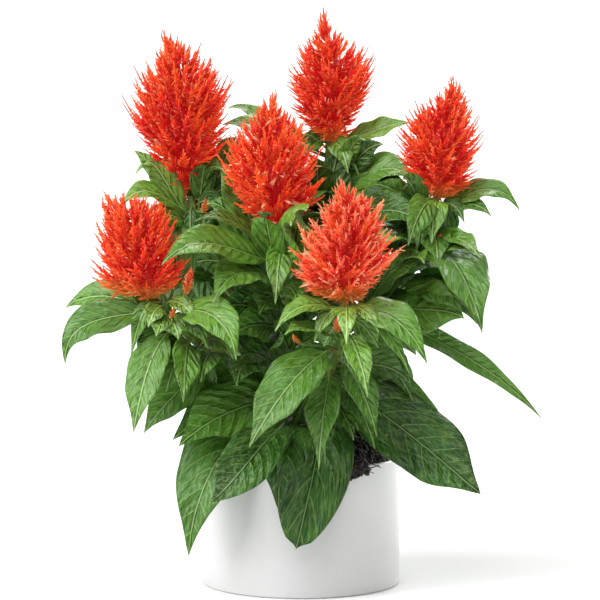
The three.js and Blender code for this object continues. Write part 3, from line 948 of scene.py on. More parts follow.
@dataclass
class Soil:
    """The compost: a lumpy heap in the pot, strewn with crumbs and fibres, with some hung over the lip."""

    crumb: float = 1.8  # radius
    to_square_metre: float = 145000.0
    fibres: float = 34000.0  # to a square metre too
    play: float = 0.2  # between the bed and the pot's wall
    inset: float = 2.2  # of the heap's edge, from the pot's outside
    lump: float = 0.9
    sides: int = 96
    spill_turn: float = -62.0  # degrees round the pot, where the spill hangs over
    spill_half: float = 13.0  # degrees to either side
    spill_drop: float = 6.5  # below the lip, at its longest
    spill_points: tuple[int, int] = (13, 9)  # across and down
    seed: int = 11

    def bed(self) -> bpy.types.Object:
        """Makes the closed heap.

        Returns:
            The heap, open to crumbs on its upper side.
        """
        inner = POT_DIAMETER / 2 - POT_WALL - self.play
        over = POT_DIAMETER / 2 - self.inset
        shoulder = POT_HEIGHT + 1.0
        heap = [
            (over * share, shoulder + (SOIL_TOP - 1.5 - shoulder) * math.sqrt(1 - share * share) ** 1.3)
            for share in np.linspace(1, 0, 26)
        ]
        floor = POT_FLOOR + 0.5
        profile = [(0.0, floor), (inner, floor), (inner, POT_HEIGHT - 3.0), (over, POT_HEIGHT - 0.5)]
        points, faces = spun(profile + heap, self.sides)
        top = points[:, 2] > POT_HEIGHT
        x, y = points[:, 0], points[:, 1]
        lumps = np.sin(0.31 * x + 1) * np.cos(0.27 * y) + 0.6 * np.sin(0.7 * x + 0.5 * y)
        points[:, 2] += np.where(top, self.lump * lumps, 0)
        return mesh_object("compost", points, faces, {"open": top.astype(float)})

    def spill(self) -> bpy.types.Object:
        """Makes the thin tongue of compost that hangs over the lip.

        Returns:
            The tongue, closed, and open to crumbs all over.
        """
        across, down = self.spill_points
        turns = np.radians(np.linspace(-self.spill_half, self.spill_half, across) + self.spill_turn)
        ragged = 0.55 + 0.45 * np.cos(np.linspace(-1.4, 1.4, across)) + 0.18 * np.sin(np.arange(across) * 2.3)
        outer = POT_DIAMETER / 2
        sheets = []
        for lift in (1.6, 0.25):
            rows = []
            for k in range(down):
                share = k / (down - 1)
                if share < 0.4:
                    reach, height = outer - 9 + 22.5 * share, POT_HEIGHT + lift + 1.5 * (0.4 - share)
                    reach = np.full(across, min(reach, outer + lift))
                    heights = np.full(across, height)
                else:
                    drop = (share - 0.4) / 0.6
                    reach = np.full(across, outer + lift * (1 - 0.5 * drop))
                    heights = POT_HEIGHT + lift * (1 - drop) - self.spill_drop * drop * ragged
                rows.append(np.stack([reach * np.cos(turns), reach * np.sin(turns), heights], 1))
            sheets.append(np.array(rows))
        return closed_sheets("compost_spill", sheets[0], sheets[1])

    def build(self, strew: CrumbTree) -> None:
        """Strews, dresses and seats the soil and its spill.

        Args:
            strew: the tree that strews crumbs and fibres.
        """
        finish = Compost().make()
        for piece, density in ((self.bed(), 1.0), (self.spill(), 2.4)):
            strew.grow(
                piece,
                Density=self.to_square_metre * density,
                Crumb=self.crumb * MM,
                Fibres=self.fibres * density,
                Seed=self.seed,
                Material=finish,
            )
            seat(piece, ["soil"] if piece.name == "compost" else None)


def closed_sheets(name: str, upper: np.ndarray, lower: np.ndarray) -> bpy.types.Object:
    """Closes two like grids of points into one thin body.

    Args:
        name: the object's name.
        upper: the outer grid, rows by columns by three.
        lower: the inner grid, the same shape.

    Returns:
        The object, all of it open to crumbs.
    """
    rows, columns = upper.shape[:2]
    points = np.concatenate([upper.reshape(-1, 3), lower.reshape(-1, 3)])
    faces = sheet_faces(rows, columns)
    return mesh_object(name, points, faces, {"open": np.ones(len(points))})


def sheet_faces(rows: int, columns: int) -> list[list[int]]:
    """Lists the faces of two like grids joined along their rims, the first facing up.

    Args:
        rows: how many rows of points each grid has.
        columns: how many points a row has.

    Returns:
        The four vertices of each face.
    """
    count = rows * columns
    grid = np.arange(count).reshape(rows, columns)
    a, b, c, d = grid[:-1, :-1], grid[:-1, 1:], grid[1:, 1:], grid[1:, :-1]
    upper = np.stack([a, b, c, d], -1).reshape(-1, 4)
    lower = np.stack([a, d, c, b], -1).reshape(-1, 4) + count  # cut along the same diagonal
    rim = np.concatenate([grid[0, ::-1], grid[1:, 0], grid[-1, 1:], grid[-2:0:-1, -1]])
    after = np.roll(rim, -1)
    sides = np.stack([rim, after, after + count, rim + count], -1)
    return np.concatenate([upper, lower, sides]).tolist()


# ---- Leaves ----
@dataclass(frozen=True)
class LeafPlan:
    """One leaf: the stem it grows from, where along it, its tip, width and the way its upper side looks.

    Rise and bow say how steeply it sets off and how far it arches, as shares of its length; fresh is how
    young and yellow-green it is, and also carries painted light and shade, the low leaves having little of it
    and coming out darker; out and reach say where along it rise and bow act; swing bends it aside in
    millimetres; blunt rounds its end.
    """

    stem: str
    at: float
    tip: tuple[float, float, float]
    width: float
    looks: tuple[float, float, float]
    rise: float
    bow: float
    fresh_and_lit: float = 0.15
    out: float = 0.3
    reach: float = 0.7
    swing: tuple[float, float] = (0.0, 0.0)
    blunt: bool = False


LEAVES = {
    "left_leaf_1": LeafPlan("left", 0.95, (-147, -52, 147), 25, (-0.3, -0.8, 0.6), 0, 0.52, 0.22, reach=1.02),
    "left_leaf_2": LeafPlan("left", 0.87, (-148, -14, 177), 26, (-0.1, -0.8, 0.6), 0.2, 0.25, 0.4),
    "left_leaf_3": LeafPlan(
        "left", 0.8, (-104, -78, 108), 25, (-0.3, -0.9, 0.3), 0.15, 0.12, 0.32, swing=(-3, 0)
    ),
    "left_leaf_4": LeafPlan("left", 0.85, (-40, -92, 155), 27, (0.1, -0.8, 0.6), 0.22, 0.48, 0.3, reach=0.9),
    "left_leaf_5": LeafPlan("left", 0.7, (-73, -84, 128), 20, (0.4, -0.85, 0.3), 0.2, 0.2, 0.4),
    "left_leaf_6": LeafPlan("left", 0.55, (-98, -56, 104), 26, (-0.3, -0.9, 0.3), 0, 0.08, 0.3),
    "centre_leaf_1": LeafPlan("centre", 0.345, (-88, -30, 126), 32, (-0.1, -0.8, 0.6), 0.1, 0.2, 0.3),
    "centre_leaf_2": LeafPlan(
        "centre", 0.285, (-70, -66, 28), 47, (-0.3, -0.8, 0.4), 0.1, 0.43, 0.24, reach=1, swing=(2, 0)
    ),
    "centre_leaf_3": LeafPlan(
        "centre", 0.245, (-56, -94, 67), 34, (-0.1, -0.9, 0.5), 0.05, 0.03, 0.02, swing=(0, -51)
    ),
    "centre_leaf_4": LeafPlan("centre", 0.3, (-76, -76, 99), 41, (-0.2, -0.9, 0.35), 0.1, 0.12, 0.16),
    "centre_leaf_5": LeafPlan(
        "centre", 0.2, (-3, -76, 34), 47, (0, -1, 0.2), 0.1, 0.6, 0.02, swing=(18, -8), blunt=True
    ),
    "centre_leaf_6": LeafPlan(
        "centre", 0.42, (112, -64, 67), 46, (0, -0.85, 0.5), -0.1, 0.01, 0.04, out=0.4, reach=0.84
    ),
    "centre_leaf_7": LeafPlan("centre", 0.9, (-86, -88, 214), 26, (-0.1, -0.8, 0.6), 0.1, 0.27, 0.3),
    "centre_leaf_8": LeafPlan("centre", 0.84, (-55, -76, 188), 30, (-0.2, -0.8, 0.5), 0.1, 0.33, 0.2),
    "centre_leaf_9": LeafPlan("centre", 0.95, (-16, -56, 185), 17, (0.1, -0.9, 0.3), 0.2, 0.35, 0.3),
    "centre_leaf_10": LeafPlan("centre", 0.96, (-66, -40, 235), 15, (0, -0.5, 0.9), 0.2, 0.25),
    "front_leaf_1": LeafPlan("front", 0.72, (-32, -112, 104), 33, (-0.3, -0.85, 0.4), 0.12, 0.14, 0.22),
    "front_leaf_2": LeafPlan("front", 0.55, (11, -98, 88), 24, (-0.4, -0.8, 0.3), 0.1, 0.3),
    "front_leaf_3": LeafPlan("front", 0.66, (47, -82, 106), 20, (0.3, -0.8, 0.4), 0.1, 0.25),
    "front_leaf_4": LeafPlan("front", 0.83, (41, -116, 137), 17, (0.2, -0.9, 0.35), 0.15, 0.2, 0.5),
    "front_leaf_5": LeafPlan("front", 0.92, (78, -92, 153), 25, (0.1, -0.7, 0.7), 0.2, 0.4, 0.32),
    "front_leaf_6": LeafPlan("front", 0.8, (-10, -104, 173), 16, (-0.1, -0.6, 0.8), 0.1, 0.2, 0.4),
    "front_leaf_7": LeafPlan("front", 0.94, (-16, -96, 174), 15, (-0.2, -0.6, 0.7), 0.15, 0.35, 0.4),
    "right_leaf_1": LeafPlan("right", 0.4, (152, -12, 106), 16, (0.25, -0.75, 0.6), 0.2, 0.14, 0.38),
    "right_leaf_2": LeafPlan("right", 0.78, (113, -54, 167), 38, (0.4, -0.8, 0.45), 0.15, 0.31, 0.3),
    "right_leaf_3": LeafPlan("right", 0.5, (102, -40, 174), 41, (0, -0.9, 0.35), 0, 0.1, 0.25),
    "right_leaf_4": LeafPlan("right", 0.85, (112, -34, 211), 16, (0.1, -0.6, 0.8), 0.1, 0.2, 0.35),
    "right_leaf_5": LeafPlan("right", 0.96, (138, 6, 236), 18, (0, -0.6, 0.8), 0.2, 0.5, 0.35),
    "right_leaf_6": LeafPlan("right", 0.97, (82, -18, 218), 17, (0, -0.9, 0.3), 0.3, 0.3, 0.4),
    "right_leaf_7": LeafPlan("right", 0.42, (79, -30, 211), 24, (-0.1, -0.7, 0.7), 0.3, 0.2),
    "back_leaf_1": LeafPlan("back", 0.985, (69, 40, 288), 18, (0, -0.6, 0.8), 0.05, 0.08, 0.45),
    "back_leaf_2": LeafPlan("back", 0.66, (67, 10, 251), 20, (0, -0.6, 0.8), 0.3, 0.3, 0.2),
    "back_leaf_3": LeafPlan("back", 0.5, (81, -18, 227), 24, (0.1, -0.8, 0.5), 0.3, 0.3),
    "back_leaf_4": LeafPlan("back", 0.9, (-47, 60, 295), 15, (0, -0.5, 0.8), 0.1, 0.25, 0.4),
    "upper_left_leaf_1": LeafPlan("upper_left", 0.93, (-114, 0, 238), 18, (-0.1, -0.6, 0.8), 0.25, 0.5, 0.5),
    "upper_left_leaf_2": LeafPlan("upper_left", 0.97, (-105, 30, 256), 14, (-0.2, -0.5, 0.8), 0.3, 0.6, 0.5),
    "rear_leaf_1": LeafPlan("centre", 0.31, (-58, 98, 58), 46, (-0.3, 0.7, 0.6), 0.3, 0.5),
    "rear_leaf_2": LeafPlan("centre", 0.28, (22, 112, 44), 50, (0, 0.8, 0.5), 0.3, 0.5),
    "rear_leaf_3": LeafPlan("centre", 0.36, (78, 88, 70), 42, (0.5, 0.6, 0.6), 0.3, 0.4),
    "rear_leaf_4": LeafPlan("upper_left", 0.6, (-92, 84, 146), 36, (-0.4, 0.7, 0.6), 0.1, 0.4),
    "rear_leaf_5": LeafPlan("back", 0.45, (-14, 118, 160), 36, (0, 0.8, 0.6), 0.2, 0.4),
    "rear_leaf_6": LeafPlan("right", 0.75, (92, 84, 168), 36, (0.3, 0.7, 0.6), 0.2, 0.4),
    "rear_leaf_7": LeafPlan("back", 0.75, (58, 100, 200), 30, (0.2, 0.7, 0.6), 0.2, 0.4),
}


@dataclass
class LeafShape:
    """How every blade is made: its stalk, fold, thickness, veins and the grid it is drawn on."""

    stalk_share: float = 0.14
    stalk_half: float = 1.25
    stalk_thick: float = 1.9
    tip_half: float = 0.3
    fold: float = 0.22  # how much the edges lift above the midrib, as a share of the half width
    blade_thick: float = 0.42
    rib: float = 1.0  # radius of the midrib under the blade's base
    vein_space: float = 12.5  # between side veins on a leaf of the full width
    full_width: float = 46.0
    wave: float = 0.11  # of the margin, as a share of the half width
    inset: float = 1.5  # how far the stalk starts inside its stem's surface
    stalk_rows: int = 6
    rows: int = 42
    columns: int = 15

    def outline(self, share: np.ndarray, blunt: bool) -> np.ndarray:
        """Finds the blade's half width, as a share of its greatest.

        Args:
            share: how far along the blade each place is, from 0 to 1.
            blunt: whether the tip is round and the base narrow.

        Returns:
            The half width at each place.
        """
        base, end = (1.1, 0.6) if blunt else (0.72, 0.95)
        widest = base / (base + end)
        share = np.clip(share, 0, 1)
        drawn = 1 - (0.0 if blunt else 0.45) * smooth(0.62, 0.95, share)
        return (share / widest) ** base * ((1 - share) / (1 - widest)) ** end * drawn

    def curve(self, plan: LeafPlan, stems: dict[str, Stem]) -> tuple[Bezier, float]:
        """Works out a leaf's midrib.

        Args:
            plan: the leaf.
            stems: the plant's skeleton.

        Returns:
            The curve from the stem to the tip, and the distance between its ends.
        """
        end = np.array(plan.tip, float)
        point, away = stems[plan.stem].seat(plan.at, end)
        length = float(np.linalg.norm(end - point))
        aside = np.array([*plan.swing, 0.0])
        first = point + away * plan.out * length + aside + UP * plan.rise * length
        second = point + (end - point) * plan.reach + aside + UP * plan.bow * length
        return Bezier(np.array([point, first, second, end])), length

    def surface(
        self, plan: LeafPlan, stems: dict[str, Stem], draw: np.random.Generator
    ) -> dict[str, np.ndarray]:
        """Works out both sides of one leaf.

        Args:
            plan: the leaf.
            stems: the plant's skeleton.
            draw: the source of its small irregularities.

        Returns:
            Arrays for each point, the upper side's first: its place, the vein beat, place across and along
            the blade as vein, the way up as lift, fresh, the distance off the midrib as off, and upper.
        """
        curve, length = self.curve(plan, stems)
        blade = np.linspace(0, 1, self.rows)
        blade = 1 - (1 - blade) ** 1.7 if plan.blunt else blade**0.92
        share = np.concatenate([
            np.linspace(0, self.stalk_share, self.stalk_rows, endpoint=False),
            self.stalk_share + (1 - self.stalk_share) * blade,
        ])
        station = ((share - self.stalk_share) / (1 - self.stalk_share))[:, None]
        middle, tangent = curve.at(share), curve.way(share)
        middle[0] -= tangent[0] * self.inset
        looks = np.array(plan.looks, float)
        normal = unit(looks - tangent * (tangent @ looks)[:, None])
        side = np.cross(normal, tangent)
        spread = np.linspace(-1, 1, self.columns)
        across = (np.sign(spread) * np.abs(spread) ** 1.6)[None, :]
        leafy = smooth(-0.02, 0.1, station)
        stalk = self.stalk_half * (1 - 0.75 * np.clip(station, 0, 1)) + self.tip_half * 0.4
        half = (stalk**3 + (plan.width / 2 * self.outline(station, plan.blunt)) ** 3) ** (1 / 3)
        half = half * (1 - 0.85 * smooth(0.97, 1.0, station))
        reach = np.abs(across)
        lift = self.fold * half * leafy * (1.25 * reach - 0.25 * reach**3)
        swings = draw.uniform(0, math.tau, 2)
        beat = draw.uniform(2.2, 3.4)
        phase = np.where(across < 0, swings[0], swings[1])
        wave = self.wave * half * reach**2.2 * np.sin(math.tau * beat * station + phase) * leafy
        round_thick = self.stalk_thick * np.sqrt(np.clip(1 - across**2, 0, 1)) + 0.1
        thick = round_thick * (1 - leafy) + leafy * self.blade_thick * (1 - 0.45 * reach)
        girth = np.maximum(self.rib * (1 - 0.8 * np.clip(station, 0, 1)), 0.15)
        rib = leafy * girth * np.sqrt(np.clip(1 - (across * half / girth) ** 2, 0, 1))
        upper = middle[:, None] + side[:, None] * (across * half)[..., None]
        upper = upper + normal[:, None] * (lift + wave + thick / 2)[..., None]
        lower = upper - normal[:, None] * (thick + rib)[..., None]
        # A side vein leaves the midrib at about 50 degrees and arches towards the tip
        run = length * (1 - self.stalk_share)
        space = self.vein_space * (0.2 + 0.8 * min(1.0, plan.width / self.full_width))
        count = max(5.0, round(run / space))
        off = reach * half / run
        bend = 0.75 * off + 3.4 * off**2
        beats = count * (station - bend) + np.where(across > 0, 0.4, 0.0) + 20
        vein = np.stack(np.broadcast_arrays(beats, across, station), -1)
        up = np.broadcast_to(normal[:, None], vein.shape)
        count_each = len(share) * self.columns
        fresh_and_lit = np.clip(plan.fresh_and_lit + draw.uniform(-0.08, 0.08), 0, 1)
        return {
            "place": np.concatenate([upper.reshape(-1, 3), lower.reshape(-1, 3)]),
            "vein": np.tile(vein.reshape(-1, 3), (2, 1)),
            "lift": np.tile(up.reshape(-1, 3), (2, 1)),
            "fresh_and_lit": np.full(2 * count_each, fresh_and_lit),
            "off": np.tile((reach * half).ravel(), 2),
            "upper": np.repeat([1.0, 0.0], count_each),
        }


# The small leaves of each stem: the fields of a leaf's plan after its stem
SMALL_LEAVES = {
    "upper_left": (
        (0.985, (-106, 26, 272), 12, (-0.6, -0.7, 0.5), 0.3, 0.1, 0.5),
        (0.99, (-50, 6, 262), 15, (0, -0.8, 0.6), 0.75, 0.35, 0.3, 0.1),
        (0.95, (-43, 14, 247), 18, (0.1, -0.8, 0.5), 0.25, 0.35),
        (0.9, (-38, 16, 234), 20, (0.1, -0.8, 0.5), 0.25, 0.3),
        (0.92, (-38, 36, 276), 18, (0.2, -0.7, 0.6), 0.3, 0.4),
        (0.8, (-60, -14, 200), 22, (0, -0.9, 0.4), 0.2, 0.3),
        (0.97, (-50, 8, 234), 16, (0.2, -0.9, 0.3), 0.2, 0.4),
        (0.96, (-70, 4, 219), 8, (0, -0.9, 0.2), 0.1, 0.2),
        (0.93, (-87, 12, 224), 11, (-0.3, -0.9, 0.2), 0.2, 0.3),
        (0.94, (-59, 6, 222), 11, (0.2, -0.9, 0.2), 0.2, 0.2),
        (0.6, (-82, -8, 206), 26, (-0.1, -0.8, 0.5), 0.2, 0.3),
        (0.88, (-100, -6, 226), 16, (-0.2, -0.8, 0.5), 0.2, 0.4, 0.4),
        (0.93, (-60, 10, 264), 17, (0.1, -1, 0.1), 0.6, 0.3, 0.15, 0.1),
        (0.7, (-48, 2, 236), 22, (0.1, -0.9, 0.3), 0.25, 0.2),
        (0.9, (-86, 2, 212), 20, (-0.2, -0.9, 0.3), 0.2, 0.3, 0.2),
        (0.7, (-71, 31, 268), 30, (0, -0.95, 0.2), 0.1, 0.1, 0.1),
        (0.75, (-80, 28, 240), 20, (-0.2, -0.9, 0.3), 0.1, 0.1, 0.2),
        (0.92, (-99, 14, 264), 17, (-0.3, -0.8, 0.5), 0.3, 0.4, 0.5),
    ),
    "back": (
        (0.99, (-2, 38, 266), 15, (-0.1, -0.8, 0.6), 0.1, 0.3, 0.3),
        (0.985, (30, 24, 257), 16, (0.1, -0.9, 0.4), 0.1, 0.4, 0.4),
        (0.96, (37, 30, 254), 9, (0.1, -0.9, 0.3), 0.2, 0.4),
        (0.78, (41, 26, 278), 12, (0.1, -1, 0.1), 0.3, 0.4, 0.3),
        (0.84, (62, 14, 250), 17, (0.1, -0.8, 0.5), 0.0, 0.15),
        (0.97, (3, 42, 280), 12, (-0.2, -0.8, 0.5), 0.2, 0.2, 0.2),
        (0.94, (-30, 40, 276), 17, (-0.1, -0.7, 0.7), 0.1, 0.25),
        (0.93, (-50, 44, 286), 19, (0, -0.6, 0.8), 0.08, 0.2, 0.4),
        (0.72, (73, 12, 254), 25, (0.1, -0.7, 0.7), 0.25, 0.35, 0.3),
        (0.62, (10, 14, 268), 24, (0, -0.95, 0.2), 0.3, 0.2),
        (0.5, (4, 6, 244), 26, (0, -0.95, 0.3), 0.3, 0.2),
        (0.7, (30, 22, 232), 22, (0.2, -0.95, 0.2), 0.1, 0.2),
        (0.8, (52, 24, 276), 18, (0.1, -0.9, 0.4), 0.2, 0.2),
        (0.55, (24, 32, 272), 28, (0, -0.95, 0.2), 0.1, 0.1, 0.1),
    ),
    "right": (
        (0.97, (120, 0, 233), 12, (0, -0.7, 0.7), 0.1, 0.3, 0.3),
        (0.9, (64, -4, 257), 18, (-0.1, -0.8, 0.5), 0.25, 0.35, 0.1),
        (0.5, (88, -14, 157), 16, (0.2, -0.8, 0.5), 0.1, 0.3),
        (0.3, (54, -42, 137), 24, (0.2, -0.8, 0.5), 0.1, 0.3),
        (0.98, (103, 0, 229), 10, (0.3, -0.9, 0.2), 0.15, 0.4),
        (0.93, (78, -8, 216), 12, (-0.2, -0.9, 0.3), 0.15, 0.3),
        (0.62, (77, -38, 208), 19, (0.1, -0.7, 0.6), 0.2, 0.3, 0.3),
        (0.3, (72, -34, 150), 32, (0.2, -0.8, 0.5), 0.1, 0.25),
        (0.45, (62, -34, 172), 28, (0.1, -0.8, 0.5), 0.15, 0.3),
        (0.9, (60, 6, 246), 14, (-0.1, -0.7, 0.7), 0.2, 0.3, 0.3),
        (0.62, (110, -44, 171), 26, (0.2, -0.9, 0.3), 0.15, 0.25, 0.2),
        (0.25, (70, -40, 122), 26, (0.3, -0.9, 0.3), 0.1, 0.25, 0.05),
        (0.85, (52, -6, 230), 18, (-0.1, -0.9, 0.3), 0.15, 0.25),
        (0.93, (46, 4, 253), 17, (0, -0.9, 0.4), 0.1, 0.15),
        (0.8, (106, -24, 214), 20, (0.1, -0.9, 0.4), 0.15, 0.2, 0.3),
        (0.86, (86, -26, 204), 20, (0, -0.9, 0.3), 0.1, 0.3, 0.2),
    ),
    "left": (
        (0.98, (-106, -54, 152), 11, (-0.2, -0.9, 0.3), 0.15, 0.4, 0.4),
        (0.32, (-40, -58, 134), 24, (0, -0.85, 0.5), 0.15, 0.3),
        (0.55, (-62, -68, 138), 22, (-0.1, -0.85, 0.5), 0.15, 0.3, 0.3),
        (0.62, (-42, -66, 152), 20, (0.1, -0.85, 0.5), 0.2, 0.35, 0.25),
        (0.78, (-58, -74, 160), 15, (0.1, -0.85, 0.5), 0.2, 0.4, 0.3),
        (0.96, (-95, -60, 171), 13, (-0.1, -0.9, 0.3), 0.1, 0.3, 0.8),
        (0.97, (-66, -66, 176), 12, (0.2, -0.8, 0.4), 0.1, 0.3, 0.7),
        (0.9, (-110, -40, 190), 15, (-0.2, -0.6, 0.8), 0.1, 0.3, 0.4),
        (0.75, (-102, -58, 148), 30, (-0.2, -0.9, 0.3), 0.15, 0.2, 0.2),
        (0.7, (-84, -64, 131), 26, (0, -0.9, 0.3), 0.1, 0.2, 0.3),
        (0.96, (-78, -34, 226), 24, (0.2, -0.9, 0.3), 0.3, 0.2, 0.3),
        (0.9, (-76, -64, 164), 18, (0.1, -0.9, 0.3), 0.1, 0.2, 0.5),
        (0.9, (-90, -64, 166), 15, (-0.1, -0.9, 0.3), 0.1, 0.2, 0.5),
    ),
    "centre": (
        (0.985, (-21, -28, 212), 10, (0, -0.9, 0.3), 0.1, 0.3),
        (0.99, (22, -26, 219), 14, (0.2, -0.8, 0.5), 0.1, 0.3, 0.3),
        (0.93, (-52, 2, 264), 24, (-0.1, -0.7, 0.7), 0.2, 0.2, 0.3),
        (0.88, (-60, -2, 241), 24, (-0.1, -0.7, 0.7), 0.2, 0.3),
        (0.78, (-72, -22, 203), 24, (-0.1, -0.8, 0.5), 0.2, 0.3),
        (0.93, (20, -34, 196), 16, (0.2, -0.9, 0.4), 0.1, 0.3),
        (0.8, (-62, -12, 222), 24, (-0.1, -0.8, 0.5), 0.2, 0.3),
        (0.42, (-38, -38, 148), 26, (0, -0.8, 0.5), 0.1, 0.3),
        (0.52, (14, -42, 158), 24, (0, -0.8, 0.5), 0.1, 0.3),
        (0.6, (-36, -24, 182), 22, (0, -0.9, 0.4), 0.1, 0.3),
        (0.5, (-16, -44, 166), 24, (0, -0.9, 0.4), 0.1, 0.3),
        (0.3, (-80, -58, 100), 38, (-0.3, -0.9, 0.3), 0.1, 0.16, 0.2),
        (0.21, (-14, -74, 58), 46, (0, -0.9, 0.3), 0.1, 0.6, 0.02, 0.3, 1.0),
        (0.44, (102, -50, 76), 46, (0, -0.85, 0.5), 0.0, 0.06, 0.1),
        (0.8, (-2, -52, 184), 20, (0, -0.9, 0.3), 0.1, 0.2, 0.2),
        (0.25, (74, 6, 90), 34, (0.5, -0.1, 0.8), 0.2, 0.4, 0.1),
        (0.34, (60, -28, 98), 30, (0.5, -0.3, 0.8), 0.2, 0.4, 0.1),
        (0.22, (56, 42, 86), 34, (0.4, 0.4, 0.8), 0.2, 0.4),
        (0.28, (-70, 6, 88), 36, (-0.5, -0.1, 0.8), 0.2, 0.4, 0.1),
        (0.23, (-64, 38, 86), 34, (-0.4, 0.4, 0.8), 0.2, 0.4),
        (0.33, (-56, -22, 104), 30, (-0.5, -0.3, 0.8), 0.2, 0.4, 0.1),
        (0.75, (-26, -50, 178), 22, (0, -0.9, 0.3), 0.1, 0.2),
        (0.62, (-42, -52, 164), 24, (0, -0.9, 0.3), 0.1, 0.2, 0.2),
        (0.68, (-50, -30, 178), 26, (0, -0.9, 0.3), 0.1, 0.2, 0.1),
    ),
    "front": (
        (0.75, (41, -86, 131), 13, (0.2, -0.9, 0.3), 0.1, 0.3, 0.3),
        (0.62, (0, -72, 150), 20, (-0.1, -0.85, 0.5), 0.15, 0.3),
        (0.35, (36, -46, 104), 18, (0.2, -0.85, 0.4), 0.1, 0.3),
        (0.5, (46, -74, 97), 15, (0.3, -0.9, 0.2), 0.1, 0.3),
        (0.42, (15, -72, 86), 17, (-0.1, -0.9, 0.3), 0.1, 0.3),
        (0.93, (67, -84, 146), 13, (0.3, -0.8, 0.4), 0.2, 0.3, 0.4),
        (0.97, (28, -100, 166), 12, (0, -0.7, 0.6), 0.1, 0.3, 0.9),
        (0.97, (48, -88, 172), 11, (0.2, -0.7, 0.6), 0.1, 0.3, 0.9),
        (0.96, (8, -88, 166), 11, (-0.2, -0.7, 0.6), 0.1, 0.3, 0.8),
        (0.58, (66, -58, 138), 26, (0.2, -0.9, 0.3), 0.1, 0.25),
        (0.36, (33, -62, 100), 20, (0.1, -0.9, 0.3), 0.1, 0.25),
        (0.9, (48, -70, 160), 16, (0.2, -0.9, 0.3), 0.1, 0.2, 0.5),
        (0.85, (14, -66, 160), 18, (-0.1, -0.9, 0.3), 0.1, 0.2, 0.3),
    ),
}


@dataclass
class Thicket:
    """Where small leaves may fill the plant between its named ones."""

    tries: int = 3400
    low: float = 96.0
    high: float = 246.0
    wide: tuple[float, float] = (8.0, 92.0)  # from the middle, least and most
    long: tuple[float, float] = (22.0, 68.0)
    slender: tuple[float, float] = (0.34, 0.46)
    probes: int = 5
    seed: int = 9

    def frame_tree(self, left_out: tuple[str, ...] = ()) -> BVHTree:
        """Gathers the frame's solids.

        Args:
            left_out: words whose solids stay out, if their names hold one.

        Returns:
            The tree of their faces, in millimetres.
        """
        points, faces = [], []
        for name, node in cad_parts.items():
            if any(word in name for word in left_out):
                continue
            start = len(points)
            points += [v.co / MM for v in node.data.vertices]
            faces += [[start + i for i in p.vertices] for p in node.data.polygons]
        return BVHTree.FromPolygons(points, faces)

    def hides(self, solids: BVHTree, blade: np.ndarray) -> bool:
        """Tells whether a blade would cover a named piece that shows from the front.

        Args:
            solids: the frame's solids.
            blade: the points of its upper side, rows by columns by three.

        Returns:
            True where more than half of it would.
        """
        to_eye = Vector((0, -math.cos(math.radians(8)), math.sin(math.radians(8))))
        covered = 0
        rows = np.linspace(0.3, 0.98, self.probes)
        spots = [blade[int(r * (len(blade) - 1)), c] for r in rows for c in (2, blade.shape[1] // 2, -3)]
        for spot in spots:
            at = Vector(spot)
            seen = solids.ray_cast(at + to_eye, to_eye)[0] is None
            behind = solids.ray_cast(at - to_eye, -to_eye)[0] is not None
            covered += seen and behind
        return covered > len(spots) / 2

    def plans(self, stems: dict[str, Stem]) -> list[LeafPlan]:
        """Proposes leaves round the plant by the golden angle.

        Args:
            stems: the plant's skeleton.

        Returns:
            The leaves, before any is turned down.
        """
        draw = np.random.default_rng(self.seed)
        found = []
        for i in range(self.tries):
            share = (i * GOLDEN_SHARE) % 1
            turn = i * GOLDEN_ANGLE
            height = self.low + (self.high - self.low) * share
            bulge = math.sin(math.pi * (0.12 + 0.76 * share)) ** 0.6
            reach = draw.uniform(*self.wide) * bulge
            tip = np.array([1.05 * reach * math.sin(turn), -0.9 * reach * math.cos(turn), height])
            best = None
            for name, stem in stems.items():
                for at in np.linspace(0.22, 0.97, 16):
                    spot = stem.curve.at(at)[0]
                    gap = float(np.linalg.norm(tip - spot))
                    strain = abs(gap - draw.uniform(*self.long)) + 0.4 * max(0.0, tip[2] - spot[2] - 20)
                    if self.long[0] < gap < self.long[1] and (best is None or strain < best[0]):
                        best = (strain, name, at, gap)
            if best is None:
                continue
            out = unit(np.array([tip[0], tip[1], 0.0]))
            looks = tuple(out * 0.5 + UP * 0.75 + draw.uniform(-0.25, 0.25, 3))
            width = best[3] * draw.uniform(*self.slender)
            rise, bow = draw.uniform(0.1, 0.3), draw.uniform(0.2, 0.5)
            # The higher a small leaf, the younger it is, and the lighter it is painted
            fresh_and_lit = draw.uniform(0.0, 0.3) + 0.3 * share**3
            found.append(LeafPlan(best[1], float(best[2]), tuple(tip), width, looks, rise, bow, fresh_and_lit))
        return found


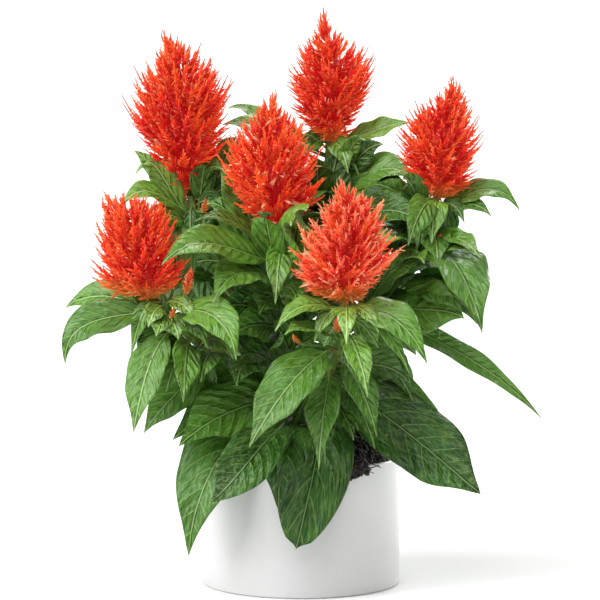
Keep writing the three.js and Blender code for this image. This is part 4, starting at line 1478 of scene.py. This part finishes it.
@dataclass
class Foliage:
    """All the leaves: one piece for each of the frame's leaves, and the small ones between them in groups."""

    shape: LeafShape = field(default_factory=LeafShape)
    small: LeafShape = field(
        default_factory=lambda: LeafShape(stalk_half=0.8, stalk_thick=1.2, stalk_rows=4, rows=22, columns=9)
    )
    filler: LeafShape = field(
        default_factory=lambda: LeafShape(stalk_half=0.8, stalk_thick=1.2, stalk_rows=3, rows=17, columns=7)
    )
    thicket: Thicket = field(default_factory=Thicket)
    group: int = 40  # filler leaves to a piece
    puff: float = 3.0  # height of the quilting between side veins
    crease: float = 0.2  # depth of the midrib's groove
    ripple: float = 1.6
    quilted: float = 34.0  # width from which a leaf has its full quilting
    seed: int = 5

    def dressed(
        self, name: str, plans: list[LeafPlan], parts: list[dict[str, np.ndarray]], shape: LeafShape
    ) -> bpy.types.Object:
        """Joins leaves into one piece, raises their quilting and dresses them.

        Args:
            name: the piece's name.
            plans: the leaves.
            parts: their surfaces, as LeafShape.surface gives them.
            shape: the shape they were made with.

        Returns:
            The finished piece, not yet seated.
        """
        rows = shape.rows + shape.stalk_rows
        one = np.array(sheet_faces(rows, shape.columns))
        count = len(parts[0]["place"])
        faces = np.concatenate([one + i * count for i in range(len(parts))]).tolist()
        joined = {key: np.concatenate([part[key] for part in parts]) for key in parts[0]}
        blades = mesh_object(name, joined.pop("place"), faces, joined)
        size = min(1.0, sum(plan.width for plan in plans) / len(plans) / self.quilted)
        return self.quilt.grow(
            blades,
            Puff=self.puff * size * MM,
            Crease=self.crease * MM,
            Ripple=self.ripple * size * MM,
            Material=self.finish,
        )

    def fill(self, stems: dict[str, Stem]) -> None:
        """Fills the plant with the small leaves that hit nothing and hide nothing.

        Args:
            stems: the plant's skeleton.
        """
        solids = self.thicket.frame_tree()
        shown = self.thicket.frame_tree(("stem", "rear"))
        draw = np.random.default_rng(self.seed + 1)
        free = self.filler.rows - 5  # rows clear of the stem
        bare = sheet_faces(free, self.filler.columns)
        kept, trees = [], [solids]
        for plan in self.thicket.plans(stems):
            part = self.filler.surface(plan, stems, draw)
            grid = part["place"].reshape(2, -1, self.filler.columns, 3)[:, -free:]
            body = [Vector(v) for v in grid.reshape(-1, 3)]
            own = BVHTree.FromPolygons(body, bare)
            if any(own.overlap(tree) for tree in trees) or self.thicket.hides(shown, grid[0]):
                continue
            kept.append((plan, part))
            trees.append(own)
        log.info("filler leaves: %d of %d", len(kept), self.thicket.tries)
        for i in range(0, len(kept), self.group):
            plans, parts = zip(*kept[i : i + self.group])
            seat(self.dressed(f"filler_leaves_{i // self.group + 1}", plans, parts, self.filler))

    def build(self, stems: dict[str, Stem], quilt: QuiltTree) -> None:
        """Builds, dresses and seats every leaf.

        Args:
            stems: the plant's skeleton.
            quilt: the tree that raises the blades between their veins.
        """
        self.finish, self.quilt = LeafTissue().make(), quilt
        draw = np.random.default_rng(self.seed)
        for name, plan in LEAVES.items():
            parts = [self.shape.surface(plan, stems, draw)]
            seat(self.dressed(f"{name}_blade", [plan], parts, self.shape), [name])
        for name, rows in SMALL_LEAVES.items():
            plans = [LeafPlan(name, *row) for row in rows]
            parts = [self.small.surface(plan, stems, draw) for plan in plans]
            seat(self.dressed(f"{name}_small_leaves", plans, parts, self.small))
        self.fill(stems)


# ---- Stems ----
@dataclass
class Stalks:
    """The six ribbed stems."""

    ribs: int = 6
    rib_depth: float = 0.07
    steps: int = 48
    into_plume: float = 2.0  # how far a stem runs on past its end
    into_stem: float = 3.0  # how far a side stem starts inside the centre one
    joints: int = 7
    swell: float = 0.1  # of each joint, as a share of the radius

    def build(self, stems: dict[str, Stem], ribbed: StemTree) -> None:
        """Sweeps, dresses and seats every stem.

        Args:
            stems: the plant's skeleton.
            ribbed: the tree that sweeps the section.
        """
        finish = GreenStalk().make()
        for name, stem in stems.items():
            share = np.linspace(0, 1, self.steps)
            points = stem.curve.at(share)
            points[-1] += stem.curve.way(1.0)[0] * self.into_plume
            if name != "centre":
                points[0] -= stem.curve.way(0.0)[0] * self.into_stem
            joints = 1 + self.swell * np.exp(-(((share * self.joints) % 1 - 0.5) ** 2) / 0.01)
            girth = stem.radius(share) * joints * MM * (1 - 0.5 * smooth(0.97, 1, share))
            edges = [[i, i + 1] for i in range(self.steps - 1)]
            stalk = mesh_object(f"{name}_stalk", points, edges, {"girth": girth})
            ribbed.grow(stalk, Ribs=self.ribs, Rib_depth=self.rib_depth, Material=finish)
            seat(stalk, [f"{name}_stem"])


# ---- Plumes ----
@dataclass(frozen=True)
class PlumePlan:
    """One plume: its outline from below to the top, and the branch tips that stand out of it.

    Each outline row is height, left edge and right edge; each spike is the place of a tip; depth is the
    distance of the plume's axis behind the pot's, at the foot and at the top.
    """

    outline: tuple[tuple[float, float, float], ...]
    spikes: tuple[tuple[float, float], ...]
    depth: tuple[float, float]
    bristle: float = 0.27  # share of each spike that is bare, dark bristle
    pale_share: float = 0.024
    fade: float = 0.0
    fine: float = 1.0  # size of the feathers and bracts
    root: tuple[float, float, float] | None = None  # where a bud's own stalk starts
    seed: int = 1


PLUMES = {
    "upper_left": PlumePlan(
        outline=(
            (242, -77, -71), (249, -81, -67), (257, -87, -64), (264, -92, -61), (268, -96, -52),
            (274, -99, -46), (282, -102, -45), (290, -104, -46), (298, -107, -44), (307, -109, -43),
            (315, -105, -43), (323, -101, -50), (327, -98, -54), (331, -94, -57), (335, -91, -66),
            (340, -88, -70), (344, -88, -76), (350, -89, -86),
        ),
        spikes=(
            (-88, 350), (-70, 340), (-63, 341), (-91, 336), (-98, 330), (-106, 326), (-53, 323),
            (-42, 318), (-46, 320), (-44, 308), (-113, 309), (-113, 303), (-107, 288), (-45, 288),
            (-104, 314), (-46, 296), (-82, 345), (-57, 332), (-101, 322),
        ),
        depth=(20, 21),
        seed=21,
    ),
    "back": PlumePlan(
        outline=(
            (275, 9, 30), (283, 3, 35), (292, -4, 39), (300, -7, 43), (310, -9, 46), (322, -8, 49),
            (333, -4, 46), (340, 4, 32), (346, 8, 23), (353, 11, 18), (361, 13, 16),
        ),
        spikes=(
            (14, 361), (26, 345), (23, 341), (5, 341), (-2, 337), (-3, 328), (43, 335), (35, 336),
            (47, 329), (-9, 311), (-8, 308), (42, 306), (37, 296), (-6, 297), (44, 314), (20, 338),
        ),
        depth=(50, 52),
        seed=22,
    ),
    "right": PlumePlan(
        outline=(
            (244, 78, 96), (251, 67, 106), (257, 63, 111), (267, 61, 113), (278, 60, 116),
            (289, 62, 114), (296, 66, 112), (302, 74, 108), (308, 84, 104), (314, 91, 102),
            (321, 94, 98),
        ),
        spikes=(
            (96, 321), (87, 311), (72, 305), (68, 300), (84, 307), (108, 301), (112, 296), (63, 288),
            (60, 283), (115, 283), (110, 267), (109, 262), (114, 256), (64, 256), (76, 303),
            (104, 303),
        ),
        depth=(15, 16),
        seed=23,
    ),
    "centre": PlumePlan(
        outline=(
            (220, -17, -9), (228, -22, -9), (236, -28, -2), (244, -40, 8), (254, -46, 12),
            (263, -49, 12), (272, -50, 11), (281, -48, 9), (290, -42, 3), (298, -33, -2),
            (306, -26, -14), (309, -24, -14), (315, -18, -15),
        ),
        spikes=(
            (-16, 315), (-52, 273), (-44, 285), (-39, 288), (-25, 303), (1, 293), (14, 278), (13, 259),
            (13, 256), (13, 246), (-40, 242), (-22, 233), (-14, 268), (-7, 280), (-47, 262), (9, 268),
        ),
        depth=(-12, -14),
        bristle=0.0,
        seed=24,
    ),
    "left": PlumePlan(
        outline=(
            (189, -101, -87), (196, -112, -79), (203, -121, -71), (211, -125, -71), (219, -127, -73),
            (228, -128, -75), (236, -127, -78), (243, -124, -83), (249, -123, -87), (254, -123, -112),
        ),
        spikes=(
            (-123, 255), (-111, 252), (-103, 254), (-96, 252), (-88, 249), (-77, 238), (-128, 235),
            (-129, 228), (-128, 221), (-131, 213), (-132, 207), (-131, 200), (-98, 188), (-69, 212),
            (-74, 201), (-116, 243), (-104, 244),
        ),
        depth=(-45, -46),
        bristle=0.08,
        seed=25,
    ),
    "front": PlumePlan(
        outline=(
            (191, 22, 38), (197, 6, 45), (204, -4, 49), (211, -6, 56), (219, -3, 60), (227, 2, 56),
            (235, 4, 53), (243, 9, 51), (250, 14, 50), (257, 20, 40), (266, 22, 25),
        ),
        spikes=(
            (24, 266), (40, 253), (50, 251), (12, 248), (-2, 237), (1, 230), (-6, 221), (-3, 214),
            (-5, 208), (57, 229), (62, 222), (59, 218), (46, 200), (42, 190), (33, 256), (6, 240),
        ),
        depth=(-68, -72),
        bristle=0.0,
        pale_share=0.05,
        fade=0.4,
        seed=26,
    ),
}


@dataclass(frozen=True)
class Bud:
    """A young flower head in an axil: where its stalk starts, its head's foot and tip, and its radius."""

    root: tuple[float, float, float]
    foot: tuple[float, float, float]
    tip: tuple[float, float, float]
    radius: float

    def plan(self) -> PlumePlan:
        """Turns the bud into the plan of a very small plume.

        Returns:
            The plan.
        """
        foot, tip = np.array(self.foot), np.array(self.tip)
        shape = ((0.0, 0.5), (0.3, 1.0), (0.6, 0.85), (0.85, 0.45), (1.0, 0.1))
        rows = []
        for share, wide in shape:
            x, _, z = foot + (tip - foot) * share
            rows.append((z, x - wide * self.radius, x + wide * self.radius))
        return PlumePlan(
            outline=tuple(rows),
            spikes=((self.tip[0], self.tip[2]),),
            depth=(self.foot[1], self.tip[1]),
            bristle=0.0,
            pale_share=0.1,
            fine=0.2 + 0.06 * self.radius,
            root=self.root,
            seed=int(abs(self.tip[0])) + 40,
        )


BUDS = {
    "left_bud": Bud((-80, -46, 178), (-72, -56, 192), (-68, -60, 209), 4.0),
    "front_bud": Bud((26, -66, 166), (23, -80, 172), (22, -85, 181), 3.6),
    "right_bud": Bud((84, 12, 224), (87, -4, 216), (88, -8, 223), 3.4),
    "left_low_bud": Bud((-84, -45, 176), (-81, -58, 177), (-79, -61, 184), 2.6),
    "upper_left_bud": Bud((-69, 20, 234), (-61, 6, 235), (-60, 4, 244), 2.8),
    "centre_bud": Bud((-12, -12, 212), (-26, -24, 217), (-28, -26, 227), 3.2),
    "front_low_bud": Bud((20, -56, 158), (-1, -74, 164), (-5, -77, 169), 2.4),
}


@dataclass
class Barbs:
    """The lines that a plume's feathers, stalk and heart are swept along, gathered point by point."""

    low: float  # height of the plume's foot
    high: float  # height of its top
    fade: float
    draw: np.random.Generator
    steps: int = 8
    lines: list[np.ndarray] = field(default_factory=list)
    values: dict[str, list[np.ndarray]] = field(default_factory=dict)

    @property
    def share(self) -> np.ndarray:
        """Gives the shares of a line at which its points lie."""
        return np.linspace(0, 1, self.steps)

    def lay(
        self,
        curve: Bezier,
        full: np.ndarray | float,
        stalk: np.ndarray | float,
        along: np.ndarray | float,
        tone: float = 0.0,
        bare: bool = False,
        green: bool = False,
    ) -> None:
        """Adds one line.

        Args:
            curve: where it runs.
            full: the size of the bracts along it, none where it is nought.
            stalk: its radius in millimetres.
            along: how far out each point is, for its colour.
            tone: how orange it is.
            bare: whether it ends in a dark bristle.
            green: whether it is a green stalk.
        """
        share, spots = self.share, curve.at(self.share)
        crown = 0.5 * smooth(0.75, 1.0, (spots[:, 2] - self.low) / (self.high - self.low))
        found = {
            "way": curve.way(share),
            "fullness": full,
            "stalk": np.asarray(stalk) * MM,
            "along": along,
            "tone": np.maximum(tone, crown),
            "faded": self.fade * self.draw.uniform() * smooth(0.4, 1, share),
            "foot": 1.0 if green else 0.5 * smooth(self.low + 12, self.low, spots[:, 2]),
            "bristle": float(bare),
            "tip": share,
            "tint": 0.4,
        }
        self.lines.append(spots)
        for name, value in found.items():
            shape = (self.steps, 3) if name == "way" else (self.steps,)
            self.values.setdefault(name, []).append(np.broadcast_to(value, shape))

    def gathered(self) -> tuple[np.ndarray, list[list[int]], dict[str, np.ndarray]]:
        """Joins the lines.

        Returns:
            The points, the edges between them and the points' attributes.
        """
        edges = [[i, i + 1] for i in range(len(self.lines) * self.steps - 1) if (i + 1) % self.steps]
        return np.concatenate(self.lines), edges, {k: np.concatenate(v) for k, v in self.values.items()}


@dataclass(frozen=True)
class FeatherTip:
    """Where one feather ends, its size, how bare its end is and how far its tuft stands out, 0 to 1."""

    place: np.ndarray
    size: float
    bare: float
    tuft: float = 1.0


@dataclass
class Plumes:
    """The six flower plumes: each a crowd of cone-shaped feathers, in tufts, round a dark heart, whose dark
    crimson is partly painted shade.
    """

    bract: float = 8.0  # length
    bract_wide: float = 1.15  # half the width
    spacing: float = 0.8  # between bracts along a feather
    lean: float = 0.3  # radians, at a feather's foot
    heart: float = 0.36  # of the plume's half width
    low_tilt: float = 6.0  # degrees above level, of the lowest feathers
    high_tilt: float = 80.0  # of the highest
    patch: float = 64.0  # square millimetres of the plume's surface to a feather
    tufts: int = 6  # round the plume
    tuft_rise: float = 17.0  # between tufts up the plume
    shortest: float = 11.0  # feather
    longest: float = 23.0
    hollow: float = 0.79  # how far the feathers between tufts reach, as a share of the outline
    stand: float = 0.26  # how much further a tuft does
    spike: float = 1.38  # size of the feathers that stand out
    crest: float = 1.6  # size of the topmost one

    def axis(self, plan: PlumePlan, height: np.ndarray | float) -> np.ndarray:
        """Finds the plume's middle.

        Args:
            plan: the plume.
            height: one height, or several.

        Returns:
            The middle at each height.
        """
        rows = np.array(plan.outline)
        middle = np.interp(height, rows[:, 0], (rows[:, 1] + rows[:, 2]) / 2)
        depth = np.interp(height, rows[[0, -1], 0], plan.depth)
        return np.stack([middle, depth, np.asarray(height, float)], -1)

    def reach(self, plan: PlumePlan, height: np.ndarray | float) -> np.ndarray:
        """Finds the plume's half width at each height."""
        rows = np.array(plan.outline)
        return np.interp(height, rows[:, 0], (rows[:, 2] - rows[:, 1]) / 2)

    def tips(self, plan: PlumePlan, draw: np.random.Generator) -> list[FeatherTip]:
        """Lists the feather tips: the ones that stand out first, then a golden-angle round of the rest.

        Args:
            plan: the plume.
            draw: the source of the scatter.

        Returns:
            The tips, the topmost one first.
        """
        rows = np.array(plan.outline)
        low, high = rows[0, 0], rows[-1, 0]
        found = []
        for i, (x, z) in enumerate(plan.spikes):
            middle = self.axis(plan, z)
            off = draw.uniform(-0.35, 0.35) * self.reach(plan, z)
            size = self.spike if i else self.crest
            found.append(FeatherTip(np.array([x, middle[1] + off, z]), size, plan.bristle))
        heights = np.linspace(low, high, 200)
        crowd = 1 + 1.6 * smooth(0.6, 1.0, (heights - low) / (high - low))  # more of them towards the top
        area = np.cumsum(math.tau * (self.reach(plan, heights) + 1.0) * crowd) * (high - low) / len(heights)
        count = int(area[-1] / self.patch / plan.fine**2)
        swings = draw.uniform(0, math.tau, 2)
        for i in range(count):
            height = np.interp((i + 0.5) / count * area[-1], area, heights)
            turn = i * GOLDEN_ANGLE + draw.uniform(-0.25, 0.25)
            climb = math.tau * height / self.tuft_rise / plan.fine
            around = math.cos(self.tufts * turn + 0.3 * climb + swings[0])
            tuft = 0.5 + 0.5 * around * math.cos(climb + swings[1])
            wide = self.reach(plan, height) * (self.hollow + self.stand * tuft + draw.uniform(-0.05, 0.05))
            spot = self.axis(plan, height) + np.array([math.cos(turn), 0.95 * math.sin(turn), 0]) * wide
            size = draw.uniform(0.75, 1.05)
            found.append(FeatherTip(spot, size, plan.bristle * draw.uniform(0, tuft) ** 2.5, tuft))
        return found

    def feather(self, plan: PlumePlan, barbs: Barbs, end: FeatherTip) -> None:
        """Lays one feather: a curve that leaves the axis, swings out and turns up to its tip.

        Args:
            plan: the plume.
            barbs: the lines to add it to.
            end: its tip.
        """
        tip, low = end.place, barbs.low
        middle, wide = self.axis(plan, tip[2]), float(self.reach(plan, tip[2]))
        climb = (tip[2] - low) / (barbs.high - low)
        tilt = self.low_tilt + (self.high_tilt - self.low_tilt) * climb**1.05 + barbs.draw.uniform(-8, 8)
        tilt = math.radians(tilt)
        way = unit((tip - middle) * [1, 1, 0]) * math.cos(tilt) + UP * math.sin(tilt)
        if end.size == self.crest:
            way = unit(tip - self.axis(plan, tip[2] - 22 * plan.fine))
        length = np.clip(0.62 * wide / plan.fine + 6, self.shortest, self.longest) * (0.8 + 0.25 * end.tuft)
        length *= end.size * plan.fine
        foot = tip - way * length
        root = self.axis(plan, max(foot[2] - 0.3 * length * math.sin(tilt), low)) * 0.55 + foot * 0.45
        bend = UP * 0.12 * length
        first, second = foot * 0.7 + tip * 0.3 - bend, foot * 0.3 + tip * 0.7 - bend * 0.5
        curve = Bezier(np.array([root, first, second, tip]))
        share, stop = barbs.share, 1 - end.bare
        slim = 0.45 + 0.55 * min(1.0, wide / 13 / plan.fine)  # on a narrow spire
        full = min(end.size, 1.3) * slim * (1 - 0.72 * smooth(0.2 * stop, stop, share))
        full = np.where(share > stop + 0.05, 0.0, full)
        along = share * (0.62 + 0.38 * end.tuft)
        stalk = (0.8 - 0.5 * share) * plan.fine
        barbs.lay(curve, full, stalk, along, 0.65 * barbs.draw.uniform() ** 3, end.bare > 0.08)

    def feathers(self, plan: PlumePlan) -> tuple[np.ndarray, list[list[int]], dict[str, np.ndarray]]:
        """Works out the feathers of one plume as lines of points, and its heart as a thick one.

        Args:
            plan: the plume.

        Returns:
            The points, the edges between them and the points' attributes.
        """
        rows = np.array(plan.outline)
        low, high = rows[0, 0], rows[-1, 0]
        barbs = Barbs(low, high, plan.fade, np.random.default_rng(plan.seed))
        for end in self.tips(plan, barbs.draw):
            self.feather(plan, barbs, end)
        if plan.root:
            stalk, foot = np.array(plan.root, float), self.axis(plan, low)
            knee = foot - UP * 0.3 * (foot - stalk)[2]
            bent = Bezier(np.array([stalk, stalk * 0.6 + foot * 0.4, knee, foot]))
            barbs.lay(bent, 0.0, 0.9, 0.0, green=True)
        share = barbs.share
        # The heart: a thick core in the dark crimson of the inside, partly painted shade where it shows
        # between the feathers
        column = self.axis(plan, low + (high - low) * np.array([0.0, 0.3, 0.62, 0.93]))
        thick = self.heart * self.reach(plan, low + (high - low) * share * 0.93)
        thick = thick * (1 - 0.85 * smooth(0.45, 0.85, share))
        barbs.lay(Bezier(column), 0.0, np.maximum(thick, 0.6), 0.2)
        return barbs.gathered()

    def build(self, feather: FeatherTree) -> None:
        """Grows, dresses and seats every plume.

        Args:
            feather: the tree that clothes the feathers.
        """
        finish = PlumeBracts().make()
        buds = {name: bud.plan() for name, bud in BUDS.items()}
        for name, plan in (PLUMES | buds).items():
            plume = mesh_object(f"{name}_feathers", *self.feathers(plan))
            feather.grow(
                plume,
                Spacing=self.spacing * plan.fine * MM,
                Bract_length=self.bract * plan.fine * MM,
                Bract_width=self.bract_wide * plan.fine * MM,
                Lean=self.lean,
                Long_share=0.06,
                Pale_share=plan.pale_share,
                Seed=plan.seed,
                Material=finish,
            )
            node = name if name in buds else f"{name}_plume"
            seat(plume, [node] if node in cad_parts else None)


# ---- Studio ----
SQUARE = ((-1, -1), (1, -1), (1, 1), (-1, 1))
# Each light's turn from the front to the right and its height, in degrees, its power and its softness
LIGHTS = {
    "key": (-66, 40, 2.75, 40),
    "top": (-12, 62, 1.75, 60),
    "rim": (134, 14, 2.0, 24),
    "back": (168, 50, 1.4, 16),
}


@dataclass
class Studio:
    """The plain pale floor, the soft lights and the camera."""

    aim: tuple[float, float, float] = (-0.6, 0.0, 180.0)
    distance: float = 4000.0
    elevation: float = 8.0
    frame_width: float = 378.6  # what the camera takes in across, at the aim
    sensor: float = 36.0
    floor_half: float = 20000.0
    floor_drop: float = 0.2
    sky: float = 0.22

    def camera(self) -> None:
        """Sets the camera a little above the plant, far off, looking along +Y."""
        data = bpy.data.cameras.new("camera")
        data.sensor_width = self.sensor
        data.lens = self.sensor * self.distance / self.frame_width
        data.clip_start, data.clip_end = 0.1, 100
        made = bpy.data.objects.new("camera", data)
        tilt = math.radians(self.elevation)
        back = Vector((0, -math.cos(tilt), math.sin(tilt)))
        made.location = (Vector(self.aim) + back * self.distance) * MM
        made.rotation_mode = "QUATERNION"
        made.rotation_quaternion = (-back).to_track_quat("-Z", "Y")
        bpy.context.scene.collection.objects.link(made)
        bpy.context.scene.camera = made

    def light(self, name: str, turn: float, height: float, power: float, softness: float) -> None:
        """Hangs one soft far light.

        Args:
            name: the light's name.
            turn: where it stands, in degrees from the front, to the right.
            height: how high, in degrees.
            power: its power, in watts to a square metre.
            softness: how wide it looks from the plant, in degrees.
        """
        data = bpy.data.lights.new(name, "SUN")
        data.angle = math.radians(softness)
        data.energy = power
        made = bpy.data.objects.new(name, data)
        a, b = math.radians(turn), math.radians(height)
        ray = -Vector((math.sin(a) * math.cos(b), -math.cos(a) * math.cos(b), math.sin(b)))
        made.rotation_mode = "QUATERNION"
        made.rotation_quaternion = ray.to_track_quat("-Z", "Y")
        bpy.context.scene.collection.objects.link(made)

    def build(self) -> None:
        """Sets up floor, lights, sky and camera."""
        bpy.context.scene.view_settings.view_transform = "Standard"
        corners = [(x * self.floor_half, y * self.floor_half, -self.floor_drop) for x, y in SQUARE]
        floor = mesh_object("floor", np.array(corners), [[0, 1, 2, 3]])
        floor.data.materials.append(StudioPaper().make())
        self.camera()
        for name, row in LIGHTS.items():
            self.light(name, *row)
        world = bpy.data.worlds.new("studio")
        world.use_nodes = True
        sky = world.node_tree.nodes["Background"]
        sky.inputs["Color"].default_value = (1, 1, 1, 1)
        sky.inputs["Strength"].default_value = self.sky
        bpy.context.scene.world = world


def main() -> None:
    """Builds the studio and the plant, in order."""
    logging.basicConfig(level=logging.INFO, format="%(message)s")
    Studio().build()
    stems = grow_skeleton()
    Pot().build()
    Soil().build(CrumbTree())
    Stalks().build(stems, StemTree())
    Foliage().build(stems, QuiltTree())
    Plumes().build(FeatherTree())


if __name__ == "__main__":
    main()
